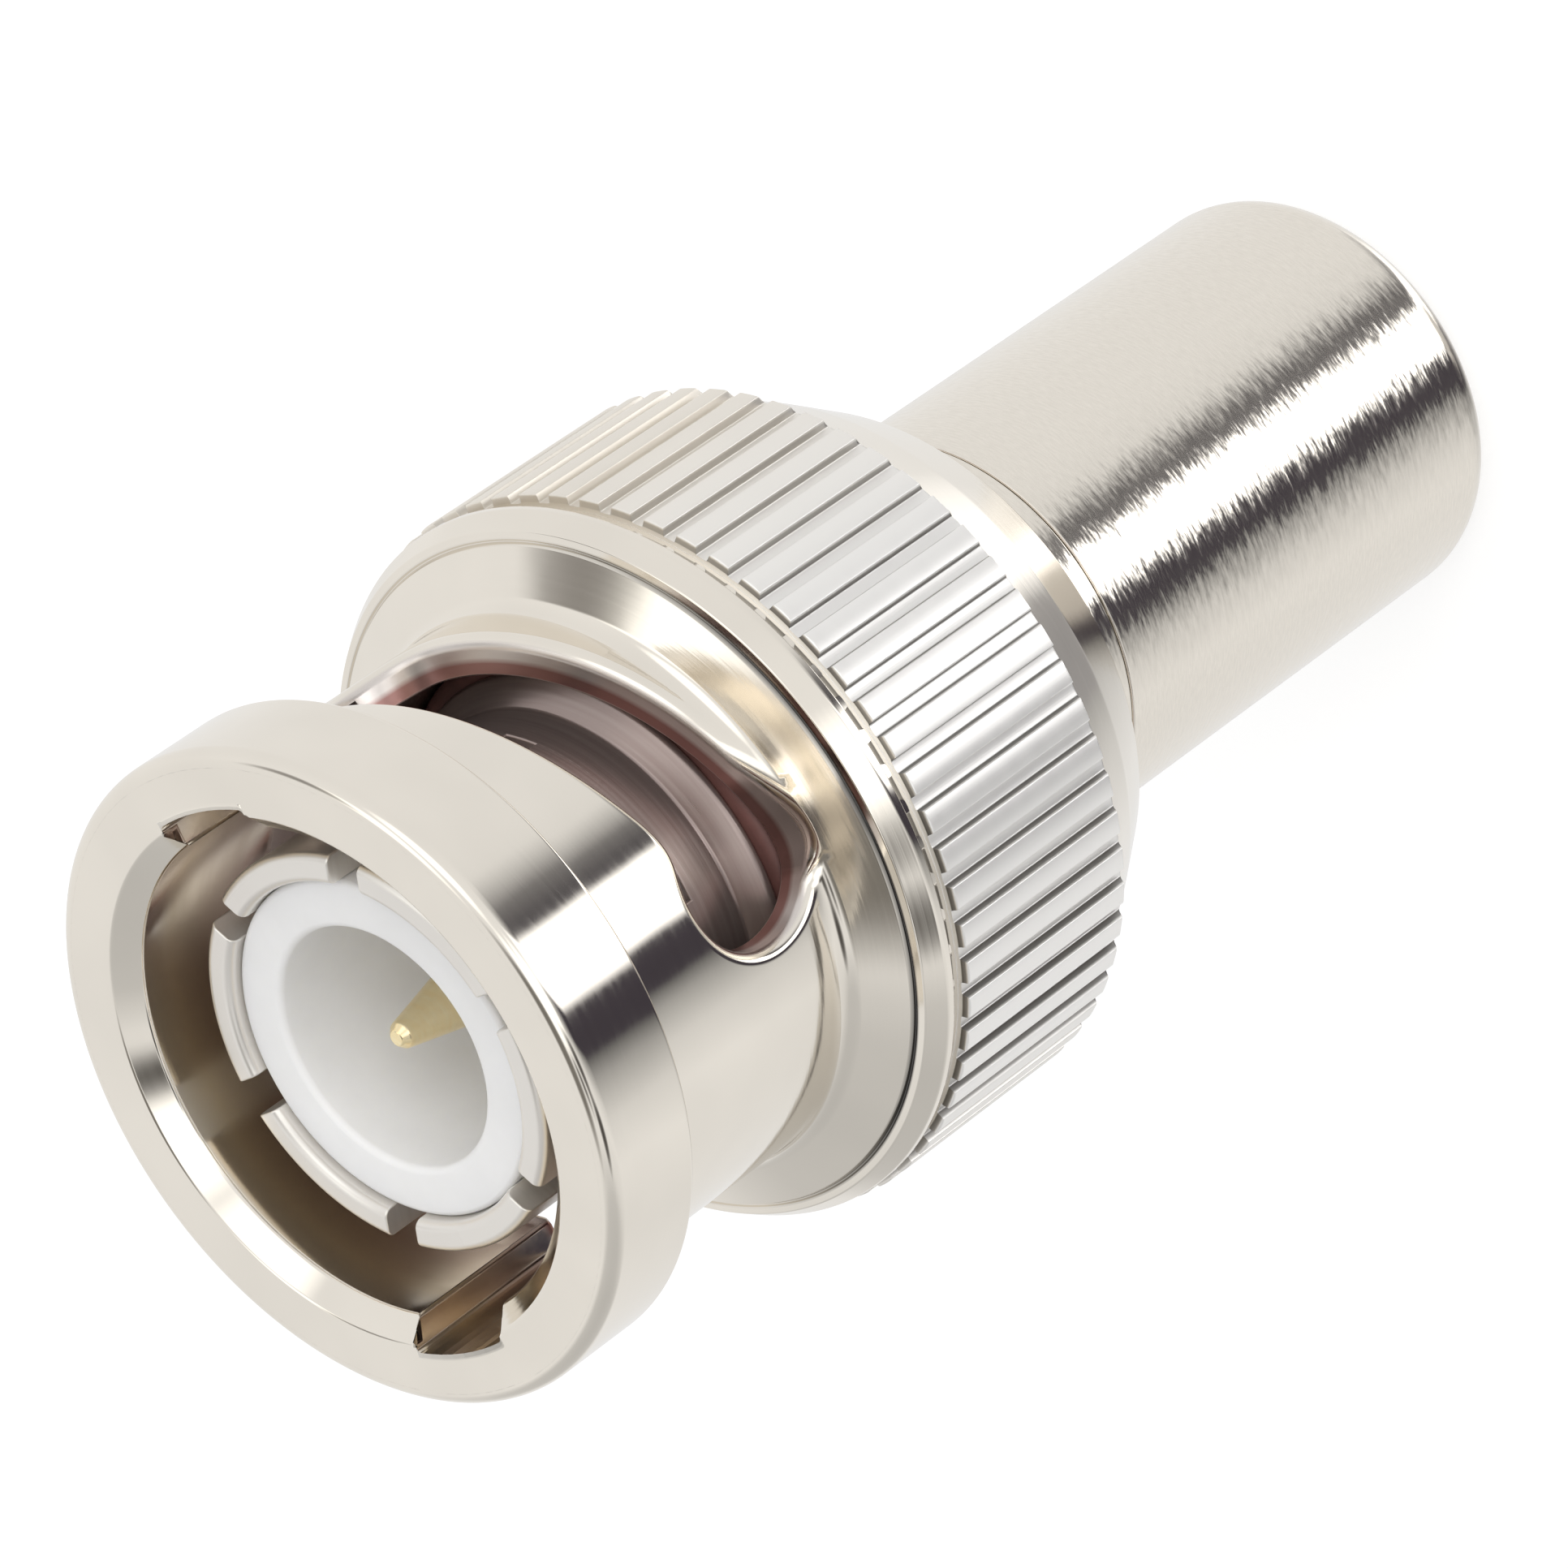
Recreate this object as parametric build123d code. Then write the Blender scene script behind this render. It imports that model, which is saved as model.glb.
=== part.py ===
from build123d import *
from math import cos, radians
import os

# A bayonet coaxial terminator, in millimetres. Z is the connector's axis: the origin is the
# centre of the closed rear end, the mating face points up, and the lug grooves lie on +X and -X.
# Heights are measured from the rear end, radii from the axis.

# Rear tube
TUBE_R = 4.30
TUBE_WALL = 0.55
TUBE_FLOOR = 0.90
TUBE_LENGTH = 11.70
TUBE_TAIL_ROUND = 0.80
TUBE_EDGE_CHAMFER = 0.08
TUBE_INNER_ROUND = 0.20

# Body sleeve: spigot in the tube, collar behind the nut, neck that the nut turns on
SPIGOT_DEPTH = 3.30
COLLAR_LENGTH = 1.48
COLLAR_TAPER = 0.14
NECK_R = 3.60
NECK_LENGTH = 6.73
BODY_BORE_R = 2.60
RING_GROOVE_DEPTH = 0.30

# Coupling nut
NUT_TAIL_WALL = 1.65
NUT_BORE_R = 4.95
BARREL_R = 5.72
BARREL_LENGTH = 5.36
RIM_R = 6.62
RIM_LENGTH = 2.20
RIM_ROUND = 0.30
MOUTH_ROUND = 0.50
RIM_REAR_ROUND = 0.12
RIM_FOOT_ROUND = 0.35
STEP_FOOT_ROUND = 0.40
STEP_TOP_R = 6.90
STEP_RISE = 0.54
BEAD_R = 7.30
BEAD_LENGTH = 0.60
BEAD_BEVEL = 0.20
BEAD_ROUND = 0.20
RELIEF_R = 7.12
RELIEF_LENGTH = 0.30
TAIL_LENGTH = 2.55
TAIL_TOP_R = 7.10
TAIL_END_R = 5.65
TAIL_BULGE = 0.12
TAIL_BLEND = 2.00
TAIL_ROUND = 0.20

# Straight knurl
KNURL_R = 7.40
KNURL_LENGTH = 4.55
KNURL_COUNT = 60
KNURL_DEPTH = 0.26
KNURL_TOP_WIDTH = 0.42
KNURL_ROOT_WIDTH = 0.28
KNURL_CHAMFER = 0.20

# Bayonet: grooves for the lugs, cam slots and detent holes
LUG_COUNT = 2
LUG_GROOVE_R = 5.50
LUG_GROOVE_WIDTH = 2.40
SLOT_WIDTH = 2.45
SLOT_START_BELOW_FACE = 5.15
CAM_DROP = 1.00
CAM_ANGLE = 72.0
CAM_END_ANGLE = 80.0
CAM_STATIONS = 9
DETENT_ANGLE = 86.5
DETENT_R = 1.46
DETENT_BELOW_START = 0.95
CUTTER_MARGIN = 0.60

# Spring contact
CONTACT_R = 4.05
CONTACT_BORE_R = 3.45
CONTACT_TIP_ROUND = 0.18
CONTACT_BELOW_FACE = 1.10
FINGER_COUNT = 6
FINGER_SLIT_WIDTH = 0.70
FINGER_SLIT_LENGTH = 4.90
FINGER_SLIT_ANGLE = 36.0
CONTACT_BEAD_R = 4.62
CONTACT_BEAD_LENGTH = 0.90
CONTACT_BEAD_FLAT = 0.25
CONTACT_BEAD_ROUND = 0.25
CONTACT_FLANGE_R = 4.80
CONTACT_FLANGE_LENGTH = 0.80
CONTACT_SHANK_R = 3.12
CONTACT_SHANK_BORE_R = 2.50
CONTACT_SHANK_LENGTH = 1.35
CONTACT_STEP = 0.30

# Gasket
GASKET_WIDTH = 0.96
GASKET_SEAT_R = 4.10
GASKET_R = 4.85
GASKET_ROUND = 0.15

# Insulators and centre pin
INSULATOR_RECESS = 0.25
INSULATOR_MOUTH_R = 2.44
INSULATOR_MOUTH_DEPTH = 4.95
INSULATOR_EDGE_ROUND = 0.12
INSULATOR_FLOOR_ROUND = 0.40
PIN_R = 0.675
PIN_RECESS = 0.65
PIN_TIP_ROUND = 0.50
PIN_SHANK_R = 0.90
PIN_SHOULDER_RISE = 0.05
PIN_COLLAR_R = 1.30
PIN_COLLAR_LENGTH = 0.50
PIN_TAIL_R = 1.00
PIN_TAIL_LENGTH = 6.05
PIN_CUP_R = 0.36
PIN_CUP_DEPTH = 1.80
REAR_INSULATOR_LENGTH = 3.90

# Spring stack between the nut's rear flange and the ring
THRUST_WASHER_THICK = 0.40
THRUST_WASHER_R = 4.82
FLAT_WASHER_THICK = 0.48
FLAT_WASHER_R = 4.80
WAVE_COUNT = 3
WAVE_FREE_HEIGHT = 1.60
WAVE_THICK = 0.30
WAVE_WASHER_R = 4.78
WAVE_STATIONS = 12
RING_THICK = 0.50
RING_R = 4.30
RING_GAP_ANGLE = 42.0

# Load resistor and its wires
RESISTOR_CORE_R = 0.85
RESISTOR_CORE_LENGTH = 5.60
RESISTOR_COAT_R = 1.10
RESISTOR_CAP_R = 1.06
RESISTOR_CAP_LENGTH = 1.00
RESISTOR_CAP_WALL = 0.17
RESISTOR_BASE = 3.20
LEAD_R = 0.28
LEAD_IN_FLOOR = 0.50
LEAD_IN_CUP = 1.20
SLEEVE_WALL = 0.25
SLEEVE_OVERLAP = 0.60
SOLDER_R = 0.80
SOLDER_HEIGHT = 0.50
SOLDER_NECK = 0.10

# Broken edges, of most machined pieces and of thin ones
EDGE = 0.10
FINE_EDGE = 0.05

# Clearances
RUNNING = 0.08
PRESS = 0.02
SEAT = 0.02
SLEEVE_GAP = 0.10

# Heights that follow from the sizes above
collar_base = TUBE_LENGTH + SEAT
neck_base = collar_base + COLLAR_LENGTH
neck_top = neck_base + NECK_LENGTH
nut_base = neck_base + RUNNING
nut_seat = nut_base + NUT_TAIL_WALL
thrust_base = nut_seat + SEAT
thrust_top = thrust_base + THRUST_WASHER_THICK
wave_base = thrust_top + SEAT
wave_top = wave_base + WAVE_FREE_HEIGHT
flat_base = wave_top + SEAT
flat_top = flat_base + FLAT_WASHER_THICK
ring_base = flat_top + SEAT
ring_top = ring_base + RING_THICK
knurl_base = nut_base + TAIL_LENGTH
knurl_top = knurl_base + KNURL_CHAMFER + KNURL_LENGTH
bead_base = knurl_top + RELIEF_LENGTH
step_top = bead_base + BEAD_LENGTH
barrel_base = step_top + STEP_RISE
rim_base = barrel_base + BARREL_LENGTH
nut_face = rim_base + RIM_LENGTH
contact_face = nut_face - CONTACT_BELOW_FACE
slot_start = nut_face - SLOT_START_BELOW_FACE
flange_base = neck_top + SEAT
flange_top = flange_base + CONTACT_FLANGE_LENGTH
gasket_base = flange_top + SEAT
gasket_top = gasket_base + GASKET_WIDTH
contact_bead_base = gasket_top + SEAT
contact_bead_top = contact_bead_base + CONTACT_BEAD_LENGTH
shank_base = flange_base - CONTACT_SHANK_LENGTH
contact_step = flange_base + CONTACT_STEP
insulator_top = contact_face - INSULATOR_RECESS
insulator_floor = insulator_top - INSULATOR_MOUTH_DEPTH
pin_tip = contact_face - PIN_RECESS
pin_shoulder = insulator_floor + PIN_SHOULDER_RISE
pin_collar_top = shank_base - SEAT
pin_collar_base = pin_collar_top - PIN_COLLAR_LENGTH
pin_base = pin_collar_base - PIN_TAIL_LENGTH
resistor_top = RESISTOR_BASE + RESISTOR_CORE_LENGTH + 2 * RESISTOR_CAP_WALL


def turned(*corners):
    """Solid of revolution about Z. Each corner of the closed outline is (radius, height, round)."""
    points = [(r, z) for r, z, _ in corners]
    rounds = [fillet_r for _, _, fillet_r in corners]
    outline = FilletPolyline(*points, radius=rounds, close=True)
    return revolve(Plane.XZ * make_face(outline), Axis.Z)


def tube(inner_r, outer_r, low, high, edge=0.0):
    """Plain ring or tube between two heights, with its four edges rounded alike."""
    return turned(
        (inner_r, low, edge), (outer_r, low, edge), (outer_r, high, edge), (inner_r, high, edge)
    )


def radial_rod(rod_r, angle, height, reach):
    """Cylinder along a radius of the connector, for round holes in its wall."""
    return Rot(0, 0, angle) * Pos(0, 0, height) * Rot(0, 90, 0) * Cylinder(
        rod_r, reach, align=(Align.CENTER, Align.CENTER, Align.MIN)
    )


def cam_height(angle):
    """Height of the slot's centre line: it falls with the square of the turned angle, then stays level."""
    return slot_start - CAM_DROP * (min(angle, CAM_ANGLE) / CAM_ANGLE) ** 2


def slot_section(angle):
    """Cut through the slot at one angle round the axis: a rectangle that spans the nut's wall."""
    inner = NUT_BORE_R - CUTTER_MARGIN
    outer = BEAD_R + CUTTER_MARGIN
    section = Pos((inner + outer) / 2, cam_height(angle)) * Rectangle(outer - inner, SLOT_WIDTH)
    return Rot(0, 0, -angle) * (Plane.XZ * section)


def bayonet_cutter():
    """Everything that one lug needs: its groove from the face, the cam slot and the detent hole."""
    reach = BEAD_R + CUTTER_MARGIN
    groove_length = nut_face - slot_start + CUTTER_MARGIN
    groove_round = Pos(0, 0, slot_start) * Cylinder(
        LUG_GROOVE_R, groove_length, align=(Align.CENTER, Align.CENTER, Align.MIN)
    )
    groove_sides = Pos(0, 0, slot_start) * Box(
        LUG_GROOVE_R, LUG_GROOVE_WIDTH, groove_length, align=(Align.MIN, Align.CENTER, Align.MIN)
    )
    angles = [CAM_END_ANGLE * i / (CAM_STATIONS - 1) for i in range(CAM_STATIONS)]
    slot = loft([slot_section(angle) for angle in angles])
    start = radial_rod(SLOT_WIDTH / 2, 0, slot_start, reach)
    detent = radial_rod(DETENT_R, -DETENT_ANGLE, slot_start - DETENT_BELOW_START, reach)
    return (groove_round & groove_sides) + slot + start + detent


def knurl_cutter():
    """One trapezoid flute of the straight knurl, open into the relief and over the tail's top edge."""
    root = KNURL_R - KNURL_DEPTH
    over = KNURL_R + KNURL_DEPTH
    over_width = 2 * KNURL_TOP_WIDTH - KNURL_ROOT_WIDTH
    section = Polyline(
        (root, -KNURL_ROOT_WIDTH / 2),
        (over, -over_width / 2),
        (over, over_width / 2),
        (root, KNURL_ROOT_WIDTH / 2),
        close=True,
    )
    flute = extrude(make_face(section), knurl_top + RELIEF_LENGTH / 2 - knurl_base)
    return Pos(0, 0, knurl_base) * flute


def coupling_nut():
    hole_r = NECK_R + RUNNING
    tail_mid_r = (TAIL_TOP_R + TAIL_END_R) / 2 + TAIL_BULGE
    tail_mid = (nut_base + knurl_base) / 2 + TAIL_BULGE
    blank = turned(
        (hole_r, nut_base, EDGE),
        (hole_r, nut_seat, EDGE),
        (NUT_BORE_R, nut_seat, 0),
        (NUT_BORE_R, nut_face, MOUTH_ROUND),
        (RIM_R, nut_face, RIM_ROUND),
        (RIM_R, rim_base, RIM_REAR_ROUND),
        (BARREL_R, rim_base, RIM_FOOT_ROUND),
        (BARREL_R, barrel_base, STEP_FOOT_ROUND),
        (STEP_TOP_R, step_top, EDGE),
        (BEAD_R, step_top - BEAD_BEVEL, BEAD_ROUND),
        (BEAD_R, bead_base, FINE_EDGE),
        (RELIEF_R, bead_base, 0),
        (RELIEF_R, knurl_top, 0),
        (KNURL_R, knurl_top, FINE_EDGE),
        (KNURL_R, knurl_base + KNURL_CHAMFER, 0),
        (TAIL_TOP_R, knurl_base, 0),
        (tail_mid_r, tail_mid, TAIL_BLEND),
        (TAIL_END_R, nut_base, TAIL_ROUND),
    )
    flutes = PolarLocations(0, KNURL_COUNT) * knurl_cutter()
    lugs = PolarLocations(0, LUG_COUNT) * bayonet_cutter()
    return blank - flutes - lugs


def rear_shell():
    inner_r = TUBE_R - TUBE_WALL
    cup = turned(
        (0, 0, 0),
        (TUBE_R, 0, TUBE_TAIL_ROUND),
        (TUBE_R, TUBE_LENGTH, TUBE_EDGE_CHAMFER),
        (inner_r, TUBE_LENGTH, 0),
        (inner_r, TUBE_FLOOR, TUBE_INNER_ROUND),
        (0, TUBE_FLOOR, 0),
    )
    lead_hole = Pos(0, 0, TUBE_FLOOR - LEAD_IN_FLOOR) * Cylinder(
        LEAD_R, TUBE_FLOOR, align=(Align.CENTER, Align.CENTER, Align.MIN)
    )
    return cup - lead_hole


def connector_body():
    spigot_r = TUBE_R - TUBE_WALL - PRESS
    groove_r = NECK_R - RING_GROOVE_DEPTH
    socket_r = CONTACT_SHANK_R + PRESS
    return turned(
        (BODY_BORE_R, collar_base - SPIGOT_DEPTH, 0),
        (spigot_r, collar_base - SPIGOT_DEPTH, EDGE),
        (spigot_r, collar_base, 0),
        (TUBE_R - TUBE_EDGE_CHAMFER, collar_base, 0),
        (TUBE_R, collar_base + TUBE_EDGE_CHAMFER, 0),
        (TUBE_R - COLLAR_TAPER, neck_base, EDGE),
        (NECK_R, neck_base, 0),
        (NECK_R, ring_base - SEAT, 0),
        (groove_r, ring_base - SEAT, 0),
        (groove_r, ring_top + SEAT, 0),
        (NECK_R, ring_top + SEAT, 0),
        (NECK_R, neck_top, EDGE),
        (socket_r, neck_top, 0),
        (socket_r, shank_base - SEAT, 0),
        (BODY_BORE_R, shank_base - SEAT, 0),
    )


def outer_contact():
    sleeve = turned(
        (CONTACT_SHANK_BORE_R, shank_base, 0),
        (CONTACT_SHANK_R, shank_base, EDGE),
        (CONTACT_SHANK_R, flange_base, 0),
        (CONTACT_FLANGE_R, flange_base, FINE_EDGE),
        (CONTACT_FLANGE_R, flange_top, FINE_EDGE),
        (GASKET_SEAT_R, flange_top, 0),
        (GASKET_SEAT_R, contact_bead_base, 0),
        (CONTACT_BEAD_R, contact_bead_base, FINE_EDGE),
        (CONTACT_BEAD_R, contact_bead_base + CONTACT_BEAD_FLAT, CONTACT_BEAD_ROUND),
        (CONTACT_R, contact_bead_top, EDGE),
        (CONTACT_R, contact_face, CONTACT_TIP_ROUND),
        (CONTACT_BORE_R, contact_face, CONTACT_TIP_ROUND),
        (CONTACT_BORE_R, contact_step, 0),
        (CONTACT_SHANK_BORE_R, contact_step, 0),
    )
    slit = Pos(0, 0, contact_face - FINGER_SLIT_LENGTH) * Box(
        CONTACT_R + CUTTER_MARGIN, FINGER_SLIT_WIDTH, FINGER_SLIT_LENGTH + SEAT,
        align=(Align.MIN, Align.CENTER, Align.MIN),
    )
    slits = PolarLocations(0, FINGER_COUNT, start_angle=FINGER_SLIT_ANGLE) * slit
    return sleeve - slits


def gasket():
    return tube(GASKET_SEAT_R + SEAT, GASKET_R, gasket_base, gasket_top, GASKET_ROUND)


def front_insulator():
    outer_r = CONTACT_BORE_R - PRESS
    spigot_r = CONTACT_SHANK_BORE_R - PRESS
    hole_r = PIN_SHANK_R + PRESS
    return turned(
        (hole_r, shank_base, 0),
        (spigot_r, shank_base, 0),
        (spigot_r, contact_step + SEAT, 0),
        (outer_r, contact_step + SEAT, 0),
        (outer_r, insulator_top, INSULATOR_EDGE_ROUND),
        (INSULATOR_MOUTH_R, insulator_top, INSULATOR_EDGE_ROUND),
        (INSULATOR_MOUTH_R, insulator_floor, INSULATOR_FLOOR_ROUND),
        (hole_r, insulator_floor, 0),
    )


def centre_pin():
    return turned(
        (PIN_CUP_R, pin_base, FINE_EDGE),
        (PIN_TAIL_R, pin_base, EDGE),
        (PIN_TAIL_R, pin_collar_base, 0),
        (PIN_COLLAR_R, pin_collar_base, FINE_EDGE),
        (PIN_COLLAR_R, pin_collar_top, FINE_EDGE),
        (PIN_SHANK_R, pin_collar_top, 0),
        (PIN_SHANK_R, pin_shoulder, FINE_EDGE),
        (PIN_R, pin_shoulder, 0),
        (PIN_R, pin_tip, PIN_TIP_ROUND),
        (0, pin_tip, 0),
        (0, pin_base + PIN_CUP_DEPTH, 0),
        (PIN_CUP_R, pin_base + PIN_CUP_DEPTH, EDGE),
    )


def rear_insulator():
    top = pin_collar_base - SEAT
    return tube(PIN_TAIL_R + PRESS, BODY_BORE_R - PRESS, top - REAR_INSULATOR_LENGTH, top, FINE_EDGE)


def wave_section(angle):
    """Cut through the wave washer at one angle round the axis."""
    inner_r = NECK_R + RUNNING
    swing = (WAVE_FREE_HEIGHT - WAVE_THICK) / 2
    height = (wave_base + wave_top) / 2 + swing * cos(radians(WAVE_COUNT * angle))
    section = Pos((inner_r + WAVE_WASHER_R) / 2, height) * Rectangle(WAVE_WASHER_R - inner_r, WAVE_THICK)
    return Rot(0, 0, angle) * (Plane.XZ * section)


def wave_washer():
    """Wave spring washer, lofted in two halves that meet on the X axis."""
    step = 180 / WAVE_STATIONS
    half = loft([wave_section(step * i) for i in range(WAVE_STATIONS + 1)])
    other = loft([wave_section(180 + step * i) for i in range(WAVE_STATIONS + 1)])
    return half + other


def retaining_ring():
    inner_r = NECK_R - RING_GROOVE_DEPTH + SEAT
    section = Plane.XZ * (
        Pos((inner_r + RING_R) / 2, (ring_base + ring_top) / 2) * Rectangle(RING_R - inner_r, RING_THICK)
    )
    return Rot(0, 0, RING_GAP_ANGLE / 2) * revolve(section, Axis.Z, 360 - RING_GAP_ANGLE)


def resistor_core():
    base = RESISTOR_BASE + RESISTOR_CAP_WALL
    return turned(
        (0, base, 0),
        (RESISTOR_CORE_R, base, FINE_EDGE),
        (RESISTOR_CORE_R, base + RESISTOR_CORE_LENGTH, FINE_EDGE),
        (0, base + RESISTOR_CORE_LENGTH, 0),
    )


def resistor_cap(closed, open_end):
    """Pressed cup over one end of the core, from its closed face to its open rim."""
    inside = closed + (RESISTOR_CAP_WALL if open_end > closed else -RESISTOR_CAP_WALL)
    return turned(
        (0, closed, 0),
        (RESISTOR_CAP_R, closed, EDGE),
        (RESISTOR_CAP_R, open_end, 0),
        (RESISTOR_CORE_R, open_end, 0),
        (RESISTOR_CORE_R, inside, 0),
        (0, inside, 0),
    )


def resistor_coating():
    low = RESISTOR_BASE + RESISTOR_CAP_LENGTH
    high = resistor_top - RESISTOR_CAP_LENGTH
    return tube(RESISTOR_CORE_R, RESISTOR_COAT_R, low, high)


def wire(low, high):
    return turned((0, low, 0), (LEAD_R, low, 0), (LEAD_R, high, 0), (0, high, 0))


def solder_bead(foot, top):
    """Cone of solder that wets a wire, widest at its foot."""
    return turned((LEAD_R, foot, 0), (SOLDER_R, foot, 0), (LEAD_R + SOLDER_NECK, top, 0), (LEAD_R, top, 0))


def insulating_sleeve():
    inner_r = RESISTOR_COAT_R + SLEEVE_GAP
    low = RESISTOR_BASE - SLEEVE_OVERLAP
    return tube(inner_r, inner_r + SLEEVE_WALL, low, resistor_top + SLEEVE_OVERLAP)


parts = {
    "coupling_nut": coupling_nut(),
    "connector_body": connector_body(),
    "rear_shell": rear_shell(),
    "outer_contact": outer_contact(),
    "gasket": gasket(),
    "front_insulator": front_insulator(),
    "centre_pin": centre_pin(),
    "rear_insulator": rear_insulator(),
    "thrust_washer": tube(NECK_R + RUNNING, THRUST_WASHER_R, thrust_base, thrust_top, FINE_EDGE),
    "wave_washer": wave_washer(),
    "flat_washer": tube(NECK_R + PRESS, FLAT_WASHER_R, flat_base, flat_top, FINE_EDGE),
    "retaining_ring": retaining_ring(),
    "resistor_core": resistor_core(),
    "resistor_coating": resistor_coating(),
    "resistor_cap_rear": resistor_cap(RESISTOR_BASE, RESISTOR_BASE + RESISTOR_CAP_LENGTH),
    "resistor_cap_front": resistor_cap(resistor_top, resistor_top - RESISTOR_CAP_LENGTH),
    "resistor_lead_rear": wire(TUBE_FLOOR - LEAD_IN_FLOOR, RESISTOR_BASE),
    "resistor_lead_front": wire(resistor_top, pin_base + LEAD_IN_CUP),
    "solder_rear": solder_bead(TUBE_FLOOR, TUBE_FLOOR + SOLDER_HEIGHT),
    "solder_front": solder_bead(pin_base, pin_base - SOLDER_HEIGHT),
    "insulating_sleeve": insulating_sleeve(),
}

os.makedirs("parts", exist_ok=True)
for name, solid in parts.items():
    export_step(solid, f"parts/{name}.step")
    print(name, len(solid.solids()), round(solid.volume, 3))
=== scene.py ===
import math

import bpy
import numpy as np
from mathutils import Matrix, Vector, geometry


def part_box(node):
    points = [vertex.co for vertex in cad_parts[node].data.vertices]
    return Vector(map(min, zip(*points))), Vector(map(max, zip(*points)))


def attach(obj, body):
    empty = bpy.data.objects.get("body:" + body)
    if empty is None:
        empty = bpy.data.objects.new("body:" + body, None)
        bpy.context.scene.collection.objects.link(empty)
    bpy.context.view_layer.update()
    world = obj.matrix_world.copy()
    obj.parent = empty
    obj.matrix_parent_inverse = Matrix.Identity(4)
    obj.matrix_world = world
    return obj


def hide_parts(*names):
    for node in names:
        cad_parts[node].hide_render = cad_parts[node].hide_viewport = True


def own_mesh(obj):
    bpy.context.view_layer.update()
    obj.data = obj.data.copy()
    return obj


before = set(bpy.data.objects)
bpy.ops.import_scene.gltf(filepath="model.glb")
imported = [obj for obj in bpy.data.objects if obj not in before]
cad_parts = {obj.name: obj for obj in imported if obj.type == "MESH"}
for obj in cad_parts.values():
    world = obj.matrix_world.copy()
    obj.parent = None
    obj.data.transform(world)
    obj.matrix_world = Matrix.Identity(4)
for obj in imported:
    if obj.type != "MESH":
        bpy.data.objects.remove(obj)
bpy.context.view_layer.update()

# Lengths are in millimetres here, and go into the meshes in metres
MM = 0.001


def node_span(node):
    """Lowest and highest corner of a CAD node, in millimetres."""
    low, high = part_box(node)
    return np.array(low) / MM, np.array(high) / MM


# Heights and radii that the frame gives
nut_low, nut_high = node_span("coupling_nut")
contact_low, contact_high = node_span("outer_contact")
insulator_low, insulator_high = node_span("front_insulator")
pin_low, pin_high = node_span("centre_pin")
gasket_low, gasket_high = node_span("gasket")
shell_high = node_span("rear_shell")[1]
body_low, body_high = node_span("connector_body")
ring_low, ring_high = node_span("retaining_ring")
thrust_low = node_span("thrust_washer")[0]
wave_low, wave_high = node_span("wave_washer")
NUT_BASE, NUT_FACE = nut_low[2], nut_high[2]
CONTACT_BASE, CONTACT_FACE = contact_low[2], contact_high[2]

# Space between seated pieces, and broken edges
SEAT = 0.02
EDGE = 0.10
FINE_EDGE = 0.05

# Tube and body
TUBE_R, TUBE_LENGTH = shell_high[0], shell_high[2]
TUBE_WALL = 0.55
TUBE_FLOOR = 0.90
TUBE_TAIL_ROUND = 0.80
TUBE_INNER_ROUND = 0.20
BODY_BORE_R = 2.60
COLLAR_LENGTH = 1.48
COLLAR_TAPER = 0.14
COLLAR_EDGE = 0.06
NECK_R = 3.60
RING_GROOVE_R = 3.30

# Coupling nut
NUT_SEAT = thrust_low[2] - SEAT
NUT_HOLE_R = 3.68
NUT_BORE_R = 4.95
BARREL_R = 5.72
BARREL_LENGTH = 5.36
RIM_R = 6.62
RIM_LENGTH = 2.20
RIM_EDGE = 0.30
RIM_REAR_ROUND = 0.12
RIM_FOOT_ROUND = 0.35
MOUTH_BEVEL = 0.42
MOUTH_ROUND = 0.14
STEP_FOOT_ROUND = 0.40
STEP_RISE = 0.54
STEP_TOP_R = 6.90
RIM_BASE = NUT_FACE - RIM_LENGTH
BARREL_BASE = RIM_BASE - BARREL_LENGTH
STEP_TOP = BARREL_BASE - STEP_RISE
BEAD_R = 7.30
BEAD_LENGTH = 0.60
BEAD_BEVEL = 0.42
BEAD_ROUND = 0.15
BEAD_LAND = 0.16
BEAD_DROP = 0.03
BEAD_LAND_ROUND = 0.06
BEAD_BASE = STEP_TOP - BEAD_LENGTH
RELIEF_R = 7.12
RELIEF_LENGTH = 0.30
KNURL_R = 7.40
KNURL_ROOT_R = 7.20
KNURL_TOP = BEAD_BASE - RELIEF_LENGTH
KNURL_CHAMFER = 0.20
KNURL_COUNT = 60
KNURL_TOP_WIDTH = 0.33
KNURL_ROOT_WIDTH = 0.25
KNURL_CROWN = 0.016
KNURL_HOLLOW = 0.01
KNURL_EDGE = 0.03
KNURL_ROOT_ROUND = 0.025
TAIL_LENGTH = 2.55
TAIL_TOP_R = 7.10
TAIL_END_R = 5.65
TAIL_BULGE = 0.12
TAIL_BLEND = 2.0
TAIL_ROUND = 0.20
KNURL_BASE = NUT_BASE + TAIL_LENGTH

# Line scored between the step and the bead
SCORE_WIDTH = 0.10
SCORE_DEPTH = 0.05
SCORE_RISE = 0.06
SCORE_EDGE = 0.02
SCORE_FOOT = (STEP_TOP_R - SCORE_WIDTH, STEP_TOP + SCORE_RISE, 0)

# Stretch of the nut's wall that is meshed round the slots, and its columns
WALL_LOW = STEP_TOP + 0.09
WALL_HIGH = RIM_BASE - 0.75
BORE_LOW = STEP_TOP - 0.60
WALL_ROWS = 28
BORE_ROWS = 16
NUT_COLUMNS = 288
HIDDEN_COLUMNS = 96
SEAM_ANGLE = math.radians(45)

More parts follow.
